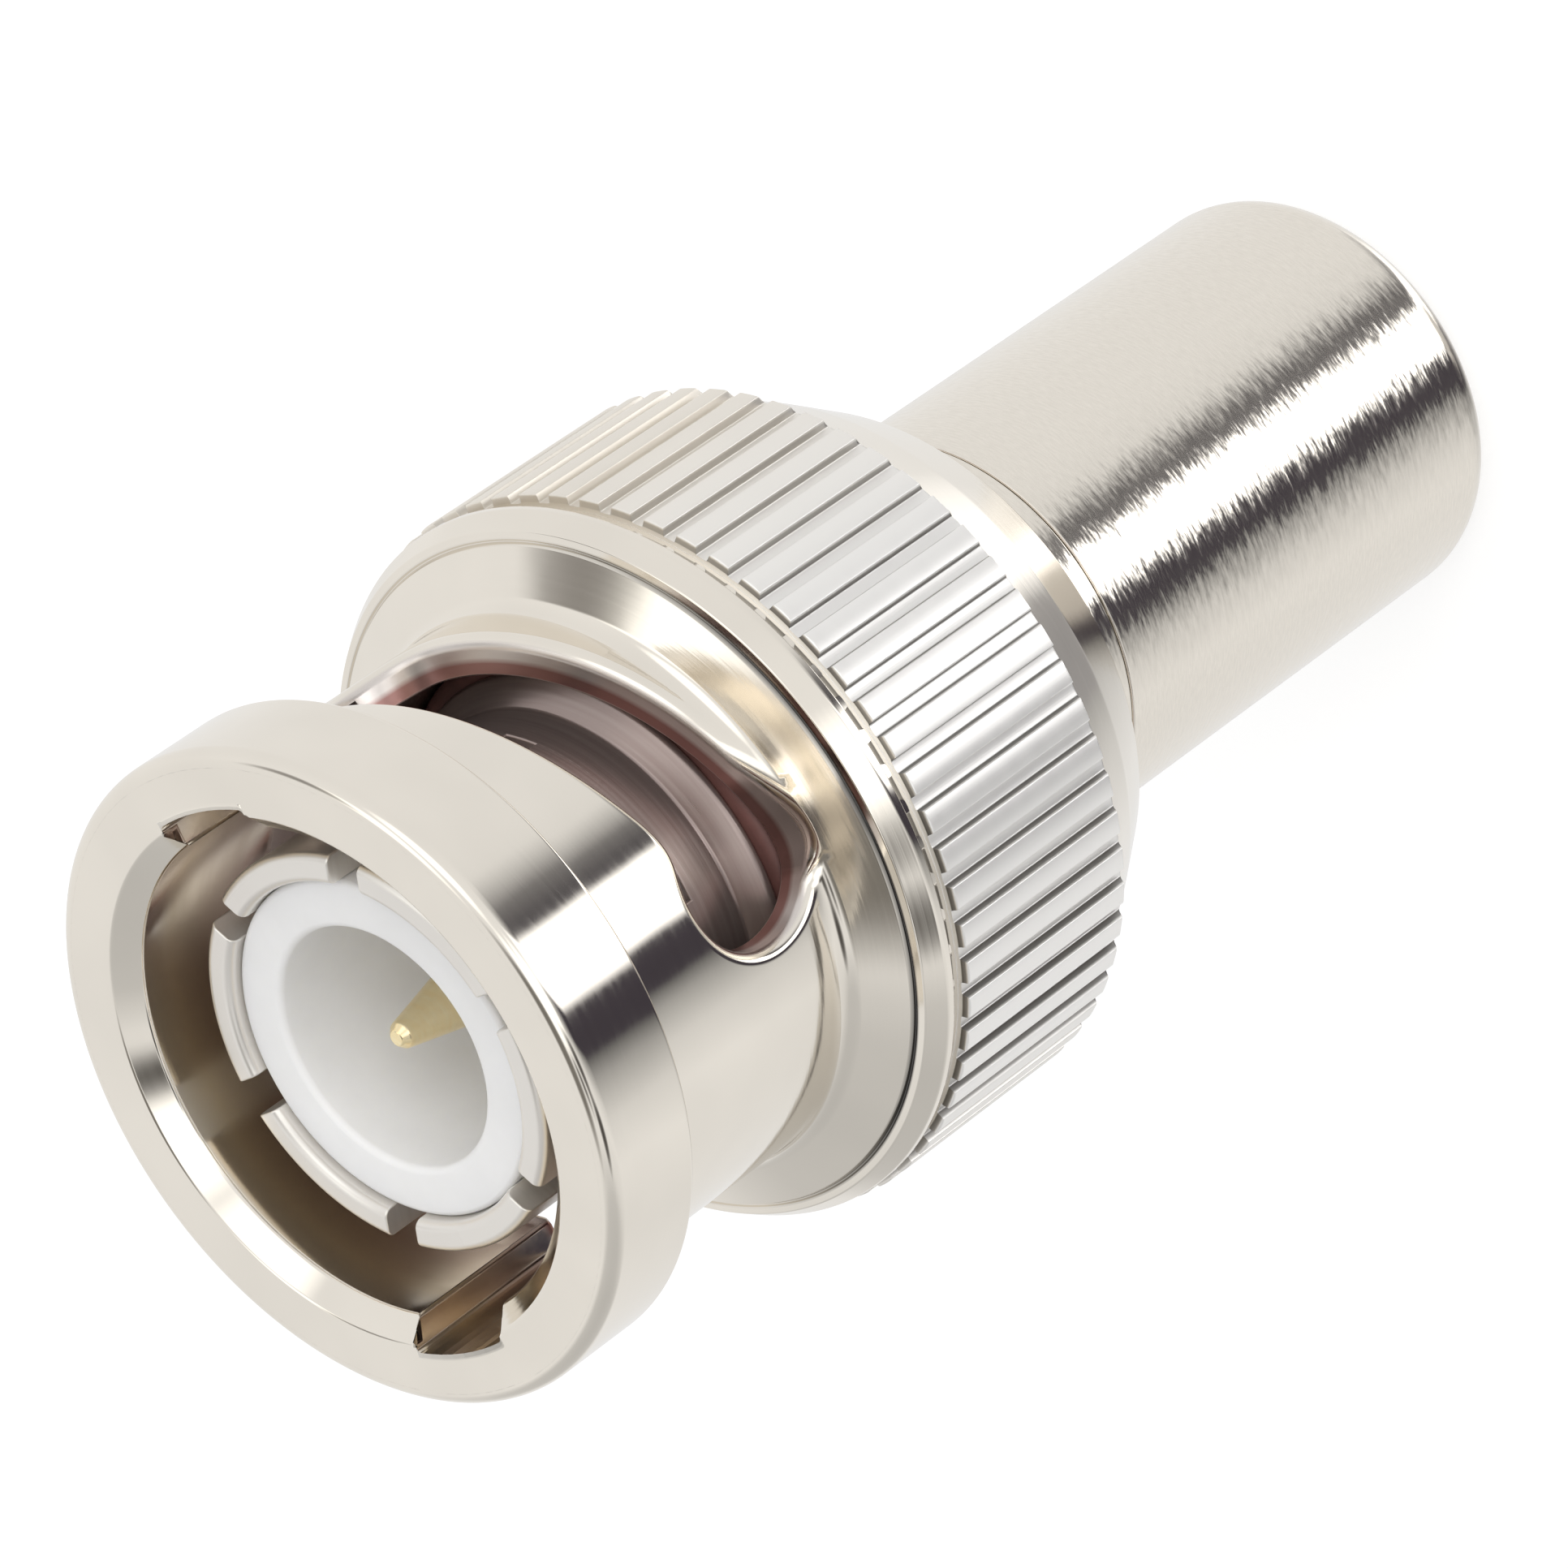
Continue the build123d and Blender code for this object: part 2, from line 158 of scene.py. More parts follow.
# Bayonet in the nut: lug grooves on +X and -X, cam slots and detent holes
LUG_COUNT = 2
GROOVE_R = 5.50
GROOVE_HALF_WIDTH = 1.20
GROOVE_FLOOR_ROUND = 0.12
SLOT_WIDTH = 2.45
SLOT_START = NUT_FACE - 5.15
SLOT_LIP = 0.26
SLOT_INNER_LIP = 0.04
SLOT_CORNER = 0.36
SLOT_STEP = 0.07
DETENT_ANGLE = 86.5
DETENT_R = 1.46
DETENT_DROP = 0.95

# Cam edges of a slot: drop, angle in degrees where the drop ends, and power of the curve
FRONT_CAM = (1.00, 72.0, 2.0)
REAR_CAM = (1.17, 83.0, 1.25)

# Wave washer
WAVE_R = wave_high[0]
WAVE_INNER_R = 3.75
WAVE_COUNT = 3
WAVE_THICK = 0.30

# Spring contact
CONTACT_R = 4.05
CONTACT_BORE_R = 3.45
CONTACT_TIP_ROUND = 0.18
CONTACT_FLANGE_R = 4.80
CONTACT_FLANGE_LENGTH = 0.80
CONTACT_STEP = 0.30
CONTACT_SHANK_R = 3.12
CONTACT_SHANK_BORE_R = 2.50
CONTACT_FLANGE = gasket_low[2] - SEAT - CONTACT_FLANGE_LENGTH
CONTACT_FLOOR = CONTACT_FLANGE + CONTACT_STEP
FINGER_COUNT = 6
FINGER_SLIT_WIDTH = 0.70
FINGER_SLIT_FOOT = CONTACT_FACE - 4.90
FINGER_SLIT_ANGLE = 36.0
FINGER_EDGE = 0.04
GASKET_R = gasket_high[0] + 0.04
GASKET_SEAT_R = 4.10
GASKET_SWELL = 0.36
GASKET_FRONT = gasket_high[2] + GASKET_SWELL
GASKET_ROUND = 0.25
GASKET_BORE_ROUND = 0.15
CONTACT_BEAD_R = 4.54
CONTACT_BEAD_TOP = gasket_high[2] + 0.92
CONTACT_BEAD_FLAT = 0.16
CONTACT_BEAD_ROUND = 0.16
CONTACT_BEAD_EDGE = 0.08

# Insulator and centre pin
INSULATOR_MOUTH_R = 2.44
INSULATOR_FLOOR = insulator_high[2] - 4.95
INSULATOR_EDGE_ROUND = 0.12
INSULATOR_MOUTH_ROUND = 0.14
INSULATOR_FLOOR_ROUND = 0.40
PIN_R = 0.675
PIN_SHANK_R = 0.90
PIN_SHOULDER_RISE = 0.05
PIN_COLLAR_R = 1.30
PIN_COLLAR_LENGTH = 0.50
PIN_TAIL_R = 1.00
PIN_CUP_R = 0.36
PIN_TAPER = 2.05
PIN_TAPER_BLEND = 3.0
PIN_NOSE = 0.14
PIN_NOSE_R = 0.27
PIN_NOSE_ROUND = 0.12
PIN_TIP_R = 0.15
PIN_TIP_ROUND = 0.08

# Camera, from the circles that the photograph shows, with the camera at the origin and looking along -Z
AXIS_TURN = math.radians(51.03)
AXIS_SLANT = math.radians(35.305)
GROOVE_TURN = math.radians(15.5)
CONTACT_IN_VIEW = np.array([-7.375, -4.87, -160.0])
LENS = 205.2
SENSOR = 36.0


def outline(corners, closed=False, arc_step=7.5, reach=None):
    """Samples an outline of (radius, height, round) corners, listed with the material on the left.

    Gives the points and their outward normals. A sharp corner, and each end, has a point for each side.
    Straight runs are cut where they are longer than reach."""
    corners = [np.array(c, float) for c in corners]
    count = len(corners)
    points, normals = [], []

    def add(point, normal):
        points.append(point)
        normals.append(normal)

    def outward(direction):
        return np.array([direction[1], -direction[0]])

    starts, ends, arcs = [None] * count, [None] * count, [None] * count
    for i in range(count):
        here = corners[i][:2]
        if not closed and i in (0, count - 1):
            starts[i] = ends[i] = here
            continue
        before = here - corners[i - 1][:2]
        after = corners[(i + 1) % count][:2] - here
        before = before / np.linalg.norm(before)
        after = after / np.linalg.norm(after)
        cross = before[0] * after[1] - before[1] * after[0]
        turn = math.atan2(cross, float(before @ after))
        cut = corners[i][2] * math.tan(abs(turn) / 2)
        starts[i], ends[i] = here - before * cut, here + after * cut
        if corners[i][2] > 0 and abs(turn) > 1e-6:
            side = math.copysign(1, turn)
            centre = starts[i] - outward(before) * corners[i][2] * side
            arcs[i] = (centre, outward(before) * side, turn, corners[i][2], side)
    for i in range(count if closed else count - 1):
        follow = (i + 1) % count
        if arcs[i] is not None:
            centre, spoke, turn, radius, side = arcs[i]
            steps = max(2, math.ceil(abs(math.degrees(turn)) / arc_step))
            for k in range(1, steps):
                c, s = math.cos(turn * k / steps), math.sin(turn * k / steps)
                turned = np.array([c * spoke[0] - s * spoke[1], s * spoke[0] + c * spoke[1]])
                add(centre + turned * radius, turned * side)
        run = starts[follow] - ends[i]
        length = float(np.linalg.norm(run))
        if length > 1e-9:
            normal = outward(run / length)
            pieces = 1 if reach is None else max(1, math.ceil(length / reach))
            for k in range(pieces + 1):
                add(ends[i] + run * k / pieces, normal)
    if closed:
        add(points[0], normals[0])
    return np.array(points), np.array(normals)


class Skin:
    """Surface patches that are gathered into one mesh, with a true normal at each vertex."""

    def __init__(self):
        self.points, self.normals, self.faces = [], [], []
        self.count = 0

    def add(self, points, normals, faces):
        """Adds faces, all with one number of corners, each turned to face the way of its normals."""
        points, normals = np.asarray(points, float), np.asarray(normals, float)
        faces = np.array(faces)
        corners = points[faces]
        across = np.zeros((len(faces), 3))
        for k in range(2, faces.shape[1]):
            across += np.cross(corners[:, k - 1] - corners[:, 0], corners[:, k] - corners[:, 0])
        wrong = (across * normals[faces].sum(1)).sum(1) < 0
        faces[wrong] = faces[wrong, ::-1]
        corners = points[faces]
        merged = np.abs(corners - np.roll(corners, -1, 1)).max(2) < 1e-7
        whole = ~merged.any(1)
        self.faces += (faces[whole] + self.count).tolist()
        for face, same in zip(faces[~whole], merged[~whole]):
            left = face[~same]
            if len(left) > 2:
                self.faces.append((left + self.count).tolist())
        self.points.append(points)
        self.normals.append(normals)
        self.count += len(points)

    def grid(self, points, normals):
        """Patch of rows by columns of points."""
        rows, columns = points.shape[:2]
        index = np.arange(rows * columns).reshape(rows, columns)
        quads = np.stack([index[:-1, :-1], index[:-1, 1:], index[1:, 1:], index[1:, :-1]], -1).reshape(-1, 4)
        self.add(points.reshape(-1, 3), normals.reshape(-1, 3), quads.tolist())

    def lathe(self, samples, columns=192):
        """Outline turned about the Z axis. Two samples on one spot are the two sides of a sharp corner."""
        turns = np.linspace(0, 2 * math.pi, columns + 1)
        (r, z), (nr, nz) = (values.T[..., None] + 0 * turns for values in samples)
        self.grid(*polar(turns, r, z, nr, 0 * nr, nz))

    def piece(self, name, body, slot, material, *nodes):
        """Makes the gathered patches one Blender mesh that rides on a body and stands for CAD nodes."""
        mesh = bpy.data.meshes.new(name)
        points = np.concatenate(self.points) * MM
        normals = np.concatenate(self.normals)
        normals /= np.maximum(np.linalg.norm(normals, axis=1, keepdims=True), 1e-9)
        mesh.from_pydata(points.tolist(), [], self.faces)
        mesh.polygons.foreach_set("use_smooth", [True] * len(mesh.polygons))
        mesh.normals_split_custom_set_from_vertices(normals.tolist())
        mesh.materials.append(material)
        made = bpy.data.objects.new(name, mesh)
        bpy.context.scene.collection.objects.link(made)
        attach(made, body)
        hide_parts(*nodes)
        return made


def fluted(skin, samples, columns, inside=False):
    """Outline turned about Z and cut by flutes that run along Z.

    Each column is (angle, radius of the flute's surface or nan, its radial and its tangential normal)."""
    angles, flute_r, across_r, across_t = np.array(columns).T
    (r, z), (nr, nz) = (values.T[..., None] + 0 * angles for values in samples)
    cut = flute_r > r if inside else flute_r < r
    r, nz = np.where(cut, flute_r, r), np.where(cut, 0, nz)
    skin.grid(*polar(angles, r, z, np.where(cut, across_r, nr), np.where(cut, across_t, 0), nz))


def nut_outline_above_step():
    """Cone, barrel, rim and bore, from the scored line over the face to the seat."""
    return outline([
        SCORE_FOOT, (BARREL_R, BARREL_BASE, STEP_FOOT_ROUND), (BARREL_R, RIM_BASE, RIM_FOOT_ROUND),
        (RIM_R, RIM_BASE, RIM_REAR_ROUND), (RIM_R, NUT_FACE, RIM_EDGE),
        (NUT_BORE_R + MOUTH_BEVEL, NUT_FACE, MOUTH_ROUND), (NUT_BORE_R, NUT_FACE - MOUTH_BEVEL, MOUTH_ROUND),
        (NUT_BORE_R, NUT_SEAT, 0),
    ], reach=0.25)


def cam_height(angle, drop, end, power):
    """Height of a cam edge, less half the slot's width: it falls with a power of the angle, then is level."""
    return SLOT_START - drop * (min(angle, end) / end) ** power


def slot_outline():
    """Closed outline of one slot, as way round the barrel and height: start, cam edges and detent hole."""
    half = SLOT_WIDTH / 2
    radius = BARREL_R
    detent_x = math.radians(DETENT_ANGLE) * radius
    detent_z = SLOT_START - DETENT_DROP
    edges = []
    for side, cam in ((1, FRONT_CAM), (-1, REAR_CAM)):
        run = []
        for step in range(181):
            x = detent_x * step / 180
            z = cam_height(math.degrees(x / radius), *cam) + side * half
            if math.hypot(x - detent_x, z - detent_z) > DETENT_R and x < detent_x:
                run.append((x, z))
        edges.append(run)
    start = [
        (-half * math.cos(turn), SLOT_START + half * math.sin(turn))
        for turn in np.linspace(-math.pi / 2, math.pi / 2, 33)[1:-1]
    ]
    upper, lower = edges
    first = math.atan2(upper[-1][1] - detent_z, upper[-1][0] - detent_x)
    last = math.atan2(lower[-1][1] - detent_z, lower[-1][0] - detent_x)
    detent = [
        (detent_x + DETENT_R * math.cos(turn), detent_z + DETENT_R * math.sin(turn))
        for turn in np.linspace(first, last, 65)
    ]
    return np.array(start + upper + detent[1:-1] + lower[::-1])


def resample(loop, step):
    """Closed loop with even spacing."""
    ring = np.vstack([loop, loop[:1]])
    lengths = np.r_[0, np.cumsum(np.linalg.norm(np.diff(ring, axis=0), axis=1))]
    count = round(lengths[-1] / step)
    at = np.linspace(0, lengths[-1], count, endpoint=False)
    return np.stack([np.interp(at, lengths, ring[:, k]) for k in (0, 1)], -1)


def rounded(loop, radius, step):
    """Closed loop with its corners eased over about a radius."""
    passes = round((radius / step) ** 2)
    for _ in range(passes):
        loop = loop / 2 + (np.roll(loop, 1, 0) + np.roll(loop, -1, 0)) / 4
    return loop


def sideways(loop):
    """Unit vectors that point out of a closed loop."""
    along = np.roll(loop, -1, 0) - np.roll(loop, 1, 0)
    along /= np.linalg.norm(along, axis=1, keepdims=True)
    away = np.stack([along[:, 1], -along[:, 0]], -1)
    area = (loop[:, 0] * np.roll(loop[:, 1], -1) - np.roll(loop[:, 0], -1) * loop[:, 1]).sum()
    return away if area > 0 else -away


def inside_loop(loop, x, y):
    """Which of the points lie in a closed loop."""
    result = np.zeros(len(x), bool)
    for (x0, y0), (x1, y1) in zip(loop, np.roll(loop, -1, 0)):
        if y0 == y1:
            continue
        between = (y0 > y) != (y1 > y)
        result ^= between & (x < (x1 - x0) * (y - y0) / (y1 - y0) + x0)
    return result


def pierced(skin, surface, columns, rows, loops, margin):
    """Flat domain of columns and rows with holes, wrapped onto surface(x, t) by its points and normals."""
    across, up = np.meshgrid(columns, rows)
    across, up = across.ravel(), up.ravel()
    keep = np.ones(len(across), bool)
    for loop in loops:
        keep &= ~inside_loop(loop + sideways(loop) * margin, across, up)
    flat = np.stack([across[keep], up[keep]], -1)
    edges = []
    for loop in loops:
        base = len(flat)
        flat = np.vstack([flat, loop])
        edges += [(base + k, base + (k + 1) % len(loop)) for k in range(len(loop))]
    made = geometry.delaunay_2d_cdt([Vector(p) for p in flat.tolist()], edges, [], 0, 1e-6, False)
    flat = np.array([tuple(v) for v in made[0]])
    faces = np.array([f for f in made[2] if len(f) == 3])
    middle = flat[faces].mean(1)
    solid = np.ones(len(faces), bool)
    for loop in loops:
        solid &= ~inside_loop(loop, middle[:, 0], middle[:, 1])
    points, normals = surface(flat[:, 0], flat[:, 1])
    skin.add(points, normals, faces[solid].tolist())


def polar(angle, r, z, nr, nt, nz):
    """Points and normals in space from radius, height and the normal's radial, turning and axial parts."""
    c, s = np.cos(angle), np.sin(angle)
    points = np.stack([r * c, r * s, z], -1)
    return points, np.stack([nr * c - nt * s, nr * s + nt * c, nz], -1)


def groove_section():
    """Section of one lug groove across Z, from the bore round the groove to the bore, on +X."""
    half = GROOVE_HALF_WIDTH
    floor_x = math.sqrt(GROOVE_R ** 2 - half ** 2)
    mouth_x = math.sqrt(NUT_BORE_R ** 2 - half ** 2)
    side_turn = math.asin(half / NUT_BORE_R) + math.radians(4)
    floor_turn = math.asin(half / GROOVE_R)
    bore = [(NUT_BORE_R * math.cos(side_turn), -NUT_BORE_R * math.sin(side_turn), 0)]
    turns = np.linspace(-floor_turn, floor_turn, 9)[1:-1]
    floor = [(GROOVE_R * math.cos(turn), GROOVE_R * math.sin(turn), 0) for turn in turns]
    right = [(mouth_x, -half, EDGE), (floor_x, -half, GROOVE_FLOOR_ROUND)]
    left = [(x, -y, rounding) for x, y, rounding in right[::-1]]
    bore_back = [(bore[0][0], -bore[0][1], 0)]
    return outline(bore + right + floor + left + bore_back, arc_step=20)


def bore_columns():
    """Angles of the bore's columns, with the groove's surface where there is one, once round."""
    groove = []
    for (x, y), (nx, ny) in zip(*groove_section()):
        r = math.hypot(x, y)
        groove.append((math.atan2(y, x), r, (nx * x + ny * y) / r, (ny * x - nx * y) / r))
    edge = groove[-1][0]
    made = []
    for lug in range(LUG_COUNT):
        centre = 2 * math.pi * lug / LUG_COUNT
        made += [(centre + angle, r, nr, nt) for angle, r, nr, nt in groove]
        plain = np.linspace(centre + edge, centre + 2 * math.pi / LUG_COUNT - edge, 60)[1:-1]
        made += [(angle, math.nan, 0, 0) for angle in plain]
    made.append((made[0][0] + 2 * math.pi, *made[0][1:]))
    return made


def knurl_columns():
    """Columns of the straight knurl: crowned lands, flutes with steep walls and a slightly hollow floor."""
    pitch = 2 * math.pi / KNURL_COUNT
    top, root = KNURL_TOP_WIDTH / 2, KNURL_ROOT_WIDTH / 2
    half_land = pitch * KNURL_R / 2 - top
    land = [(KNURL_R - KNURL_CROWN * v * v, top + half_land * (1 - v), 0) for v in np.linspace(1, 0, 6)]
    land[0] = (*land[0][:2], KNURL_EDGE)
    foot_r = KNURL_ROOT_R + KNURL_HOLLOW
    floor = [(KNURL_ROOT_R + KNURL_HOLLOW * v * v, root * v, 0) for v in np.linspace(-0.8, 0.8, 5)]
    floor = [(foot_r, -root, KNURL_ROOT_ROUND)] + floor + [(foot_r, root, KNURL_ROOT_ROUND)]
    before = [(r, -y, rounding) for r, y, rounding in land[::-1]]
    section = outline(before + floor + land, arc_step=25)
    made = []
    for tooth in range(KNURL_COUNT):
        for (r, y), (nr, nt) in zip(*section):
            made.append((tooth * pitch + y / KNURL_R, r, nr, nt))
    made.append((made[0][0] + 2 * math.pi, *made[0][1:]))
    return made


class NutWall:
    """The nut above its step: the outline, measured along its length, and the bore with its lug grooves."""

    def __init__(self):
        self.profile, self.slopes = nut_outline_above_step()
        self.lengths = np.r_[0, np.cumsum(np.linalg.norm(np.diff(self.profile, axis=0), axis=1))]
        heights = self.profile[:, 1]
        self.climb = heights[: int(np.argmax(heights > RIM_BASE - RIM_FOOT_ROUND - 0.01)) + 1]
        self.crest = self.lengths[int(np.argmax(self.slopes[:, 1] > 0.9999))]
        in_bore = (self.slopes[:, 0] < -0.999) & (heights < NUT_FACE - 0.5)
        first = int(np.argmax(in_bore))
        self.bore_start = self.lengths[first], heights[first]
        self.columns = bore_columns()
        self.angles, *surface = np.array(self.columns).T
        self.surface = np.array(surface)
        self.surface[:, np.isnan(surface[0])] = [[NUT_BORE_R], [-1], [0]]
        self.surface[0] = np.maximum(self.surface[0], NUT_BORE_R)

    def at(self, t):
        """Radius, height and the two parts of the normal at a length along the outline."""
        steady = self.lengths + np.arange(len(self.lengths)) * 1e-9
        return [np.interp(t, steady, values) for values in (*self.profile.T, *self.slopes.T)]

    def outer_length(self, z):
        """Length along the outline at a height on the cone or the barrel."""
        return np.interp(z, self.climb, self.lengths[: len(self.climb)])

    def bore_length(self, z):
        """Length along the outline at a height in the bore."""
        length, height = self.bore_start
        return length + (height - z)

    def outer(self, x, t):
        """Outer surface over the way round the barrel and the length along the outline."""
        r, z, nr, nz = self.at(t)
        return polar(x / BARREL_R, r, z, nr, 0 * nr, nz)

    def inner(self, x, z):
        """Bore over the way round the barrel and the height. The lug grooves end in the slots."""
        angle = x / BARREL_R
        wrapped = (angle - self.angles[0]) % (2 * math.pi) + self.angles[0]
        r, nr, nt = (np.interp(wrapped, self.angles, values) for values in self.surface)
        plain = z < SLOT_START
        r, nr, nt = np.where(plain, NUT_BORE_R, r), np.where(plain, -1, nr), np.where(plain, 0, nt)
        return polar(angle, r, z, nr, nt, 0 * nr)

    def stretch(self, first, last):
        """Samples of the outline between two lengths along it, with a sample at each end."""
        mask = (self.lengths > first + 1e-6) & (self.lengths < last - 1e-6)
        between = np.hstack([self.profile, self.slopes])[mask]
        samples = np.vstack([self.at(first), between, self.at(last)])
        return samples[:, :2], samples[:, 2:]


def slot_rim(skin, wall, loop):
    """Outer lip, wall and inner lip of a slot. Gives the loops where the lips meet the nut's surfaces."""
    high = np.stack([loop[:, 0], wall.outer_length(loop[:, 1])], -1)
    away = sideways(high)
    rings, tilts = [], []
    for turn in np.radians(np.linspace(0, 90, 9)):
        flat = high + away * SLOT_LIP * (1 - math.sin(turn))
        points, normals = wall.outer(flat[:, 0], flat[:, 1])
        r, z, nr, nz = wall.at(flat[:, 1])
        inward = (away[:, 1] * nz, -away[:, 0] * r / BARREL_R, -away[:, 1] * nr)
        _, across = polar(flat[:, 0] / BARREL_R, r, z, *inward)
        across /= np.linalg.norm(across, axis=1, keepdims=True)
        rings.append(points - normals * SLOT_LIP * (1 - math.cos(turn)))
        tilts.append(normals * math.cos(turn) + across * math.sin(turn))
    across = tilts[-1]
    away_inside = sideways(loop)
    for turn in np.radians(np.linspace(90, 0, 5)):
        flat = loop + away_inside * SLOT_INNER_LIP * (1 - math.sin(turn))
        points, normals = wall.inner(flat[:, 0], flat[:, 1])
        rings.append(points - normals * SLOT_INNER_LIP * (1 - math.cos(turn)))
        tilts.append(normals * math.cos(turn) + across * math.sin(turn))
    rings, tilts = np.array(rings), np.array(tilts)
    skin.grid(np.concatenate([rings, rings[:, :1]], 1), np.concatenate([tilts, tilts[:, :1]], 1))
    return high + away * SLOT_LIP, loop + away_inside * SLOT_INNER_LIP


def slotted_wall(skin, wall):
    """Barrel with the foot of its cone, and the bore behind it, both pierced by the slots."""
    slot = rounded(resample(slot_outline(), SLOT_STEP), SLOT_CORNER, SLOT_STEP)
    slot[:, 0] *= -1
    slot = slot[::-1]
    round_trip = 2 * math.pi * BARREL_R
    rims = [slot_rim(skin, wall, slot - [round_trip * lug / LUG_COUNT, 0]) for lug in range(LUG_COUNT)]
    outer_loops, inner_loops = zip(*rims)
    seam = SEAM_ANGLE * BARREL_R
    columns = np.linspace(seam - round_trip, seam, NUT_COLUMNS + 1)
    rows = np.linspace(wall.outer_length(WALL_LOW), wall.outer_length(WALL_HIGH), WALL_ROWS)
    pierced(skin, wall.outer, columns, rows, outer_loops, 0.08)
    turns = (wall.angles[:-1] - SEAM_ANGLE) % (2 * math.pi) + SEAM_ANGLE - 2 * math.pi
    columns = np.unique(np.r_[np.round(turns * BARREL_R, 6), seam - round_trip, seam])
    pierced(skin, wall.inner, columns, np.linspace(BORE_LOW, WALL_HIGH, BORE_ROWS), inner_loops, 0.06)


def nut_bead(skin):
    """Relief in front of the knurl, bead and scored line."""
    skin.lathe(outline([
        (RELIEF_R, KNURL_TOP, 0), (RELIEF_R, BEAD_BASE, 0), (BEAD_R, BEAD_BASE, FINE_EDGE),
        (BEAD_R, STEP_TOP - BEAD_BEVEL, BEAD_ROUND),
        (STEP_TOP_R + BEAD_LAND, STEP_TOP - BEAD_DROP, BEAD_LAND_ROUND), (STEP_TOP_R, STEP_TOP, SCORE_EDGE),
        (STEP_TOP_R - SCORE_DEPTH, STEP_TOP - SCORE_DEPTH, SCORE_EDGE), SCORE_FOOT,
    ], arc_step=20), NUT_COLUMNS)


def nut_knurl(skin):
    """Knurled ring, with rows close together only where the flutes run out in its chamfer and its front."""
    root_share = (KNURL_ROOT_R - TAIL_TOP_R) / (KNURL_R - TAIL_TOP_R)
    points, normals = outline([
        (TAIL_TOP_R, KNURL_BASE, 0), (KNURL_ROOT_R, KNURL_BASE + KNURL_CHAMFER * root_share, 0),
        (KNURL_R, KNURL_BASE + KNURL_CHAMFER, FINE_EDGE), (KNURL_R, KNURL_TOP, FINE_EDGE),
        (KNURL_ROOT_R, KNURL_TOP, 0), (RELIEF_R, KNURL_TOP, 0),
    ], arc_step=20, reach=0.05)
    z = points[:, 1]
    straight = (z > KNURL_BASE + KNURL_CHAMFER + 0.05) & (z < KNURL_TOP - 0.06)
    kept = ~straight | (np.arange(len(z)) % 24 == 0)
    fluted(skin, (points[kept], normals[kept]), knurl_columns())


def nut_tail(skin):
    """Tapered tail, and the rear flange that rests on the thrust washer."""
    middle_r = (TAIL_TOP_R + TAIL_END_R) / 2 + TAIL_BULGE
    middle_z = (NUT_BASE + KNURL_BASE) / 2 + TAIL_BULGE
    skin.lathe(outline([
        (NUT_HOLE_R, NUT_SEAT, 0), (NUT_HOLE_R, NUT_BASE, EDGE), (TAIL_END_R, NUT_BASE, TAIL_ROUND),
        (middle_r, middle_z, TAIL_BLEND), (TAIL_TOP_R, KNURL_BASE, 0),
    ], arc_step=12), NUT_COLUMNS)
    skin.lathe(outline([(NUT_BORE_R, NUT_SEAT, 0), (NUT_HOLE_R, NUT_SEAT, 0)]), HIDDEN_COLUMNS)


def coupling_nut(material):
    """The whole nut: turned outline, knurl, slots with rounded lips, bore with lug grooves."""
    skin = Skin()
    wall = NutWall()
    slotted_wall(skin, wall)
    skin.lathe(wall.stretch(0, wall.outer_length(WALL_LOW)), NUT_COLUMNS)
    skin.lathe(wall.stretch(wall.outer_length(WALL_HIGH), wall.crest), NUT_COLUMNS)
    fluted(skin, wall.stretch(wall.crest, wall.bore_length(WALL_HIGH)), wall.columns, inside=True)
    skin.lathe(wall.stretch(wall.bore_length(BORE_LOW), wall.lengths[-1]), HIDDEN_COLUMNS)
    nut_bead(skin)
    nut_knurl(skin)
    nut_tail(skin)
    return skin.piece("nut_finish", "nut", "nickel_polished", material, "coupling_nut")


def spring_fingers(skin):
    """Six fingers: the tip's turned outline between parallel slit walls, with the walls' edges broken."""
    foot = FINGER_SLIT_FOOT - FINGER_EDGE
    profile, slopes = outline([
        (CONTACT_R, foot, 0), (CONTACT_R, CONTACT_FACE, CONTACT_TIP_ROUND),
        (CONTACT_BORE_R, CONTACT_FACE, CONTACT_TIP_ROUND), (CONTACT_BORE_R, foot, 0),
    ], arc_step=10, reach=0.6)
    across = [(v, 0) for v in np.linspace(-1, 1, 17)]
    stations = [(-1, 90), (-1, 60), (-1, 30)] + across + [(1, 30), (1, 60), (1, 90)]
    share = math.pi / FINGER_COUNT
    for finger in range(FINGER_COUNT):
        centre = math.radians(FINGER_SLIT_ANGLE) + share * (2 * finger + 1)
        columns, tilts = [], []
        for v, turn in stations:
            turn = math.radians(turn)
            shrunk = profile - slopes * FINGER_EDGE * (1 - math.cos(turn))
            r = shrunk[:, 0]
            half = share - np.arcsin(FINGER_SLIT_WIDTH / 2 / r) - FINGER_EDGE * (1 - math.sin(turn)) / r
            angle = centre + half * v
            wall = centre + math.copysign(share, v)
            side = math.copysign(math.sin(turn), v)
            points, normals = polar(angle, r, shrunk[:, 1], slopes[:, 0], 0, slopes[:, 1])
            columns.append(points)
            tilts.append(normals * math.cos(turn) + [-math.sin(wall) * side, math.cos(wall) * side, 0])
        skin.grid(np.stack(columns, 1), np.stack(tilts, 1))
        for end in (0, -1):
            flat = columns[end]
            flat = flat[np.linalg.norm(flat - np.roll(flat, 1, 0), axis=1) > 1e-6]
            skin.add(flat, np.tile(tilts[end][0], (len(flat), 1)), [list(range(len(flat)))])


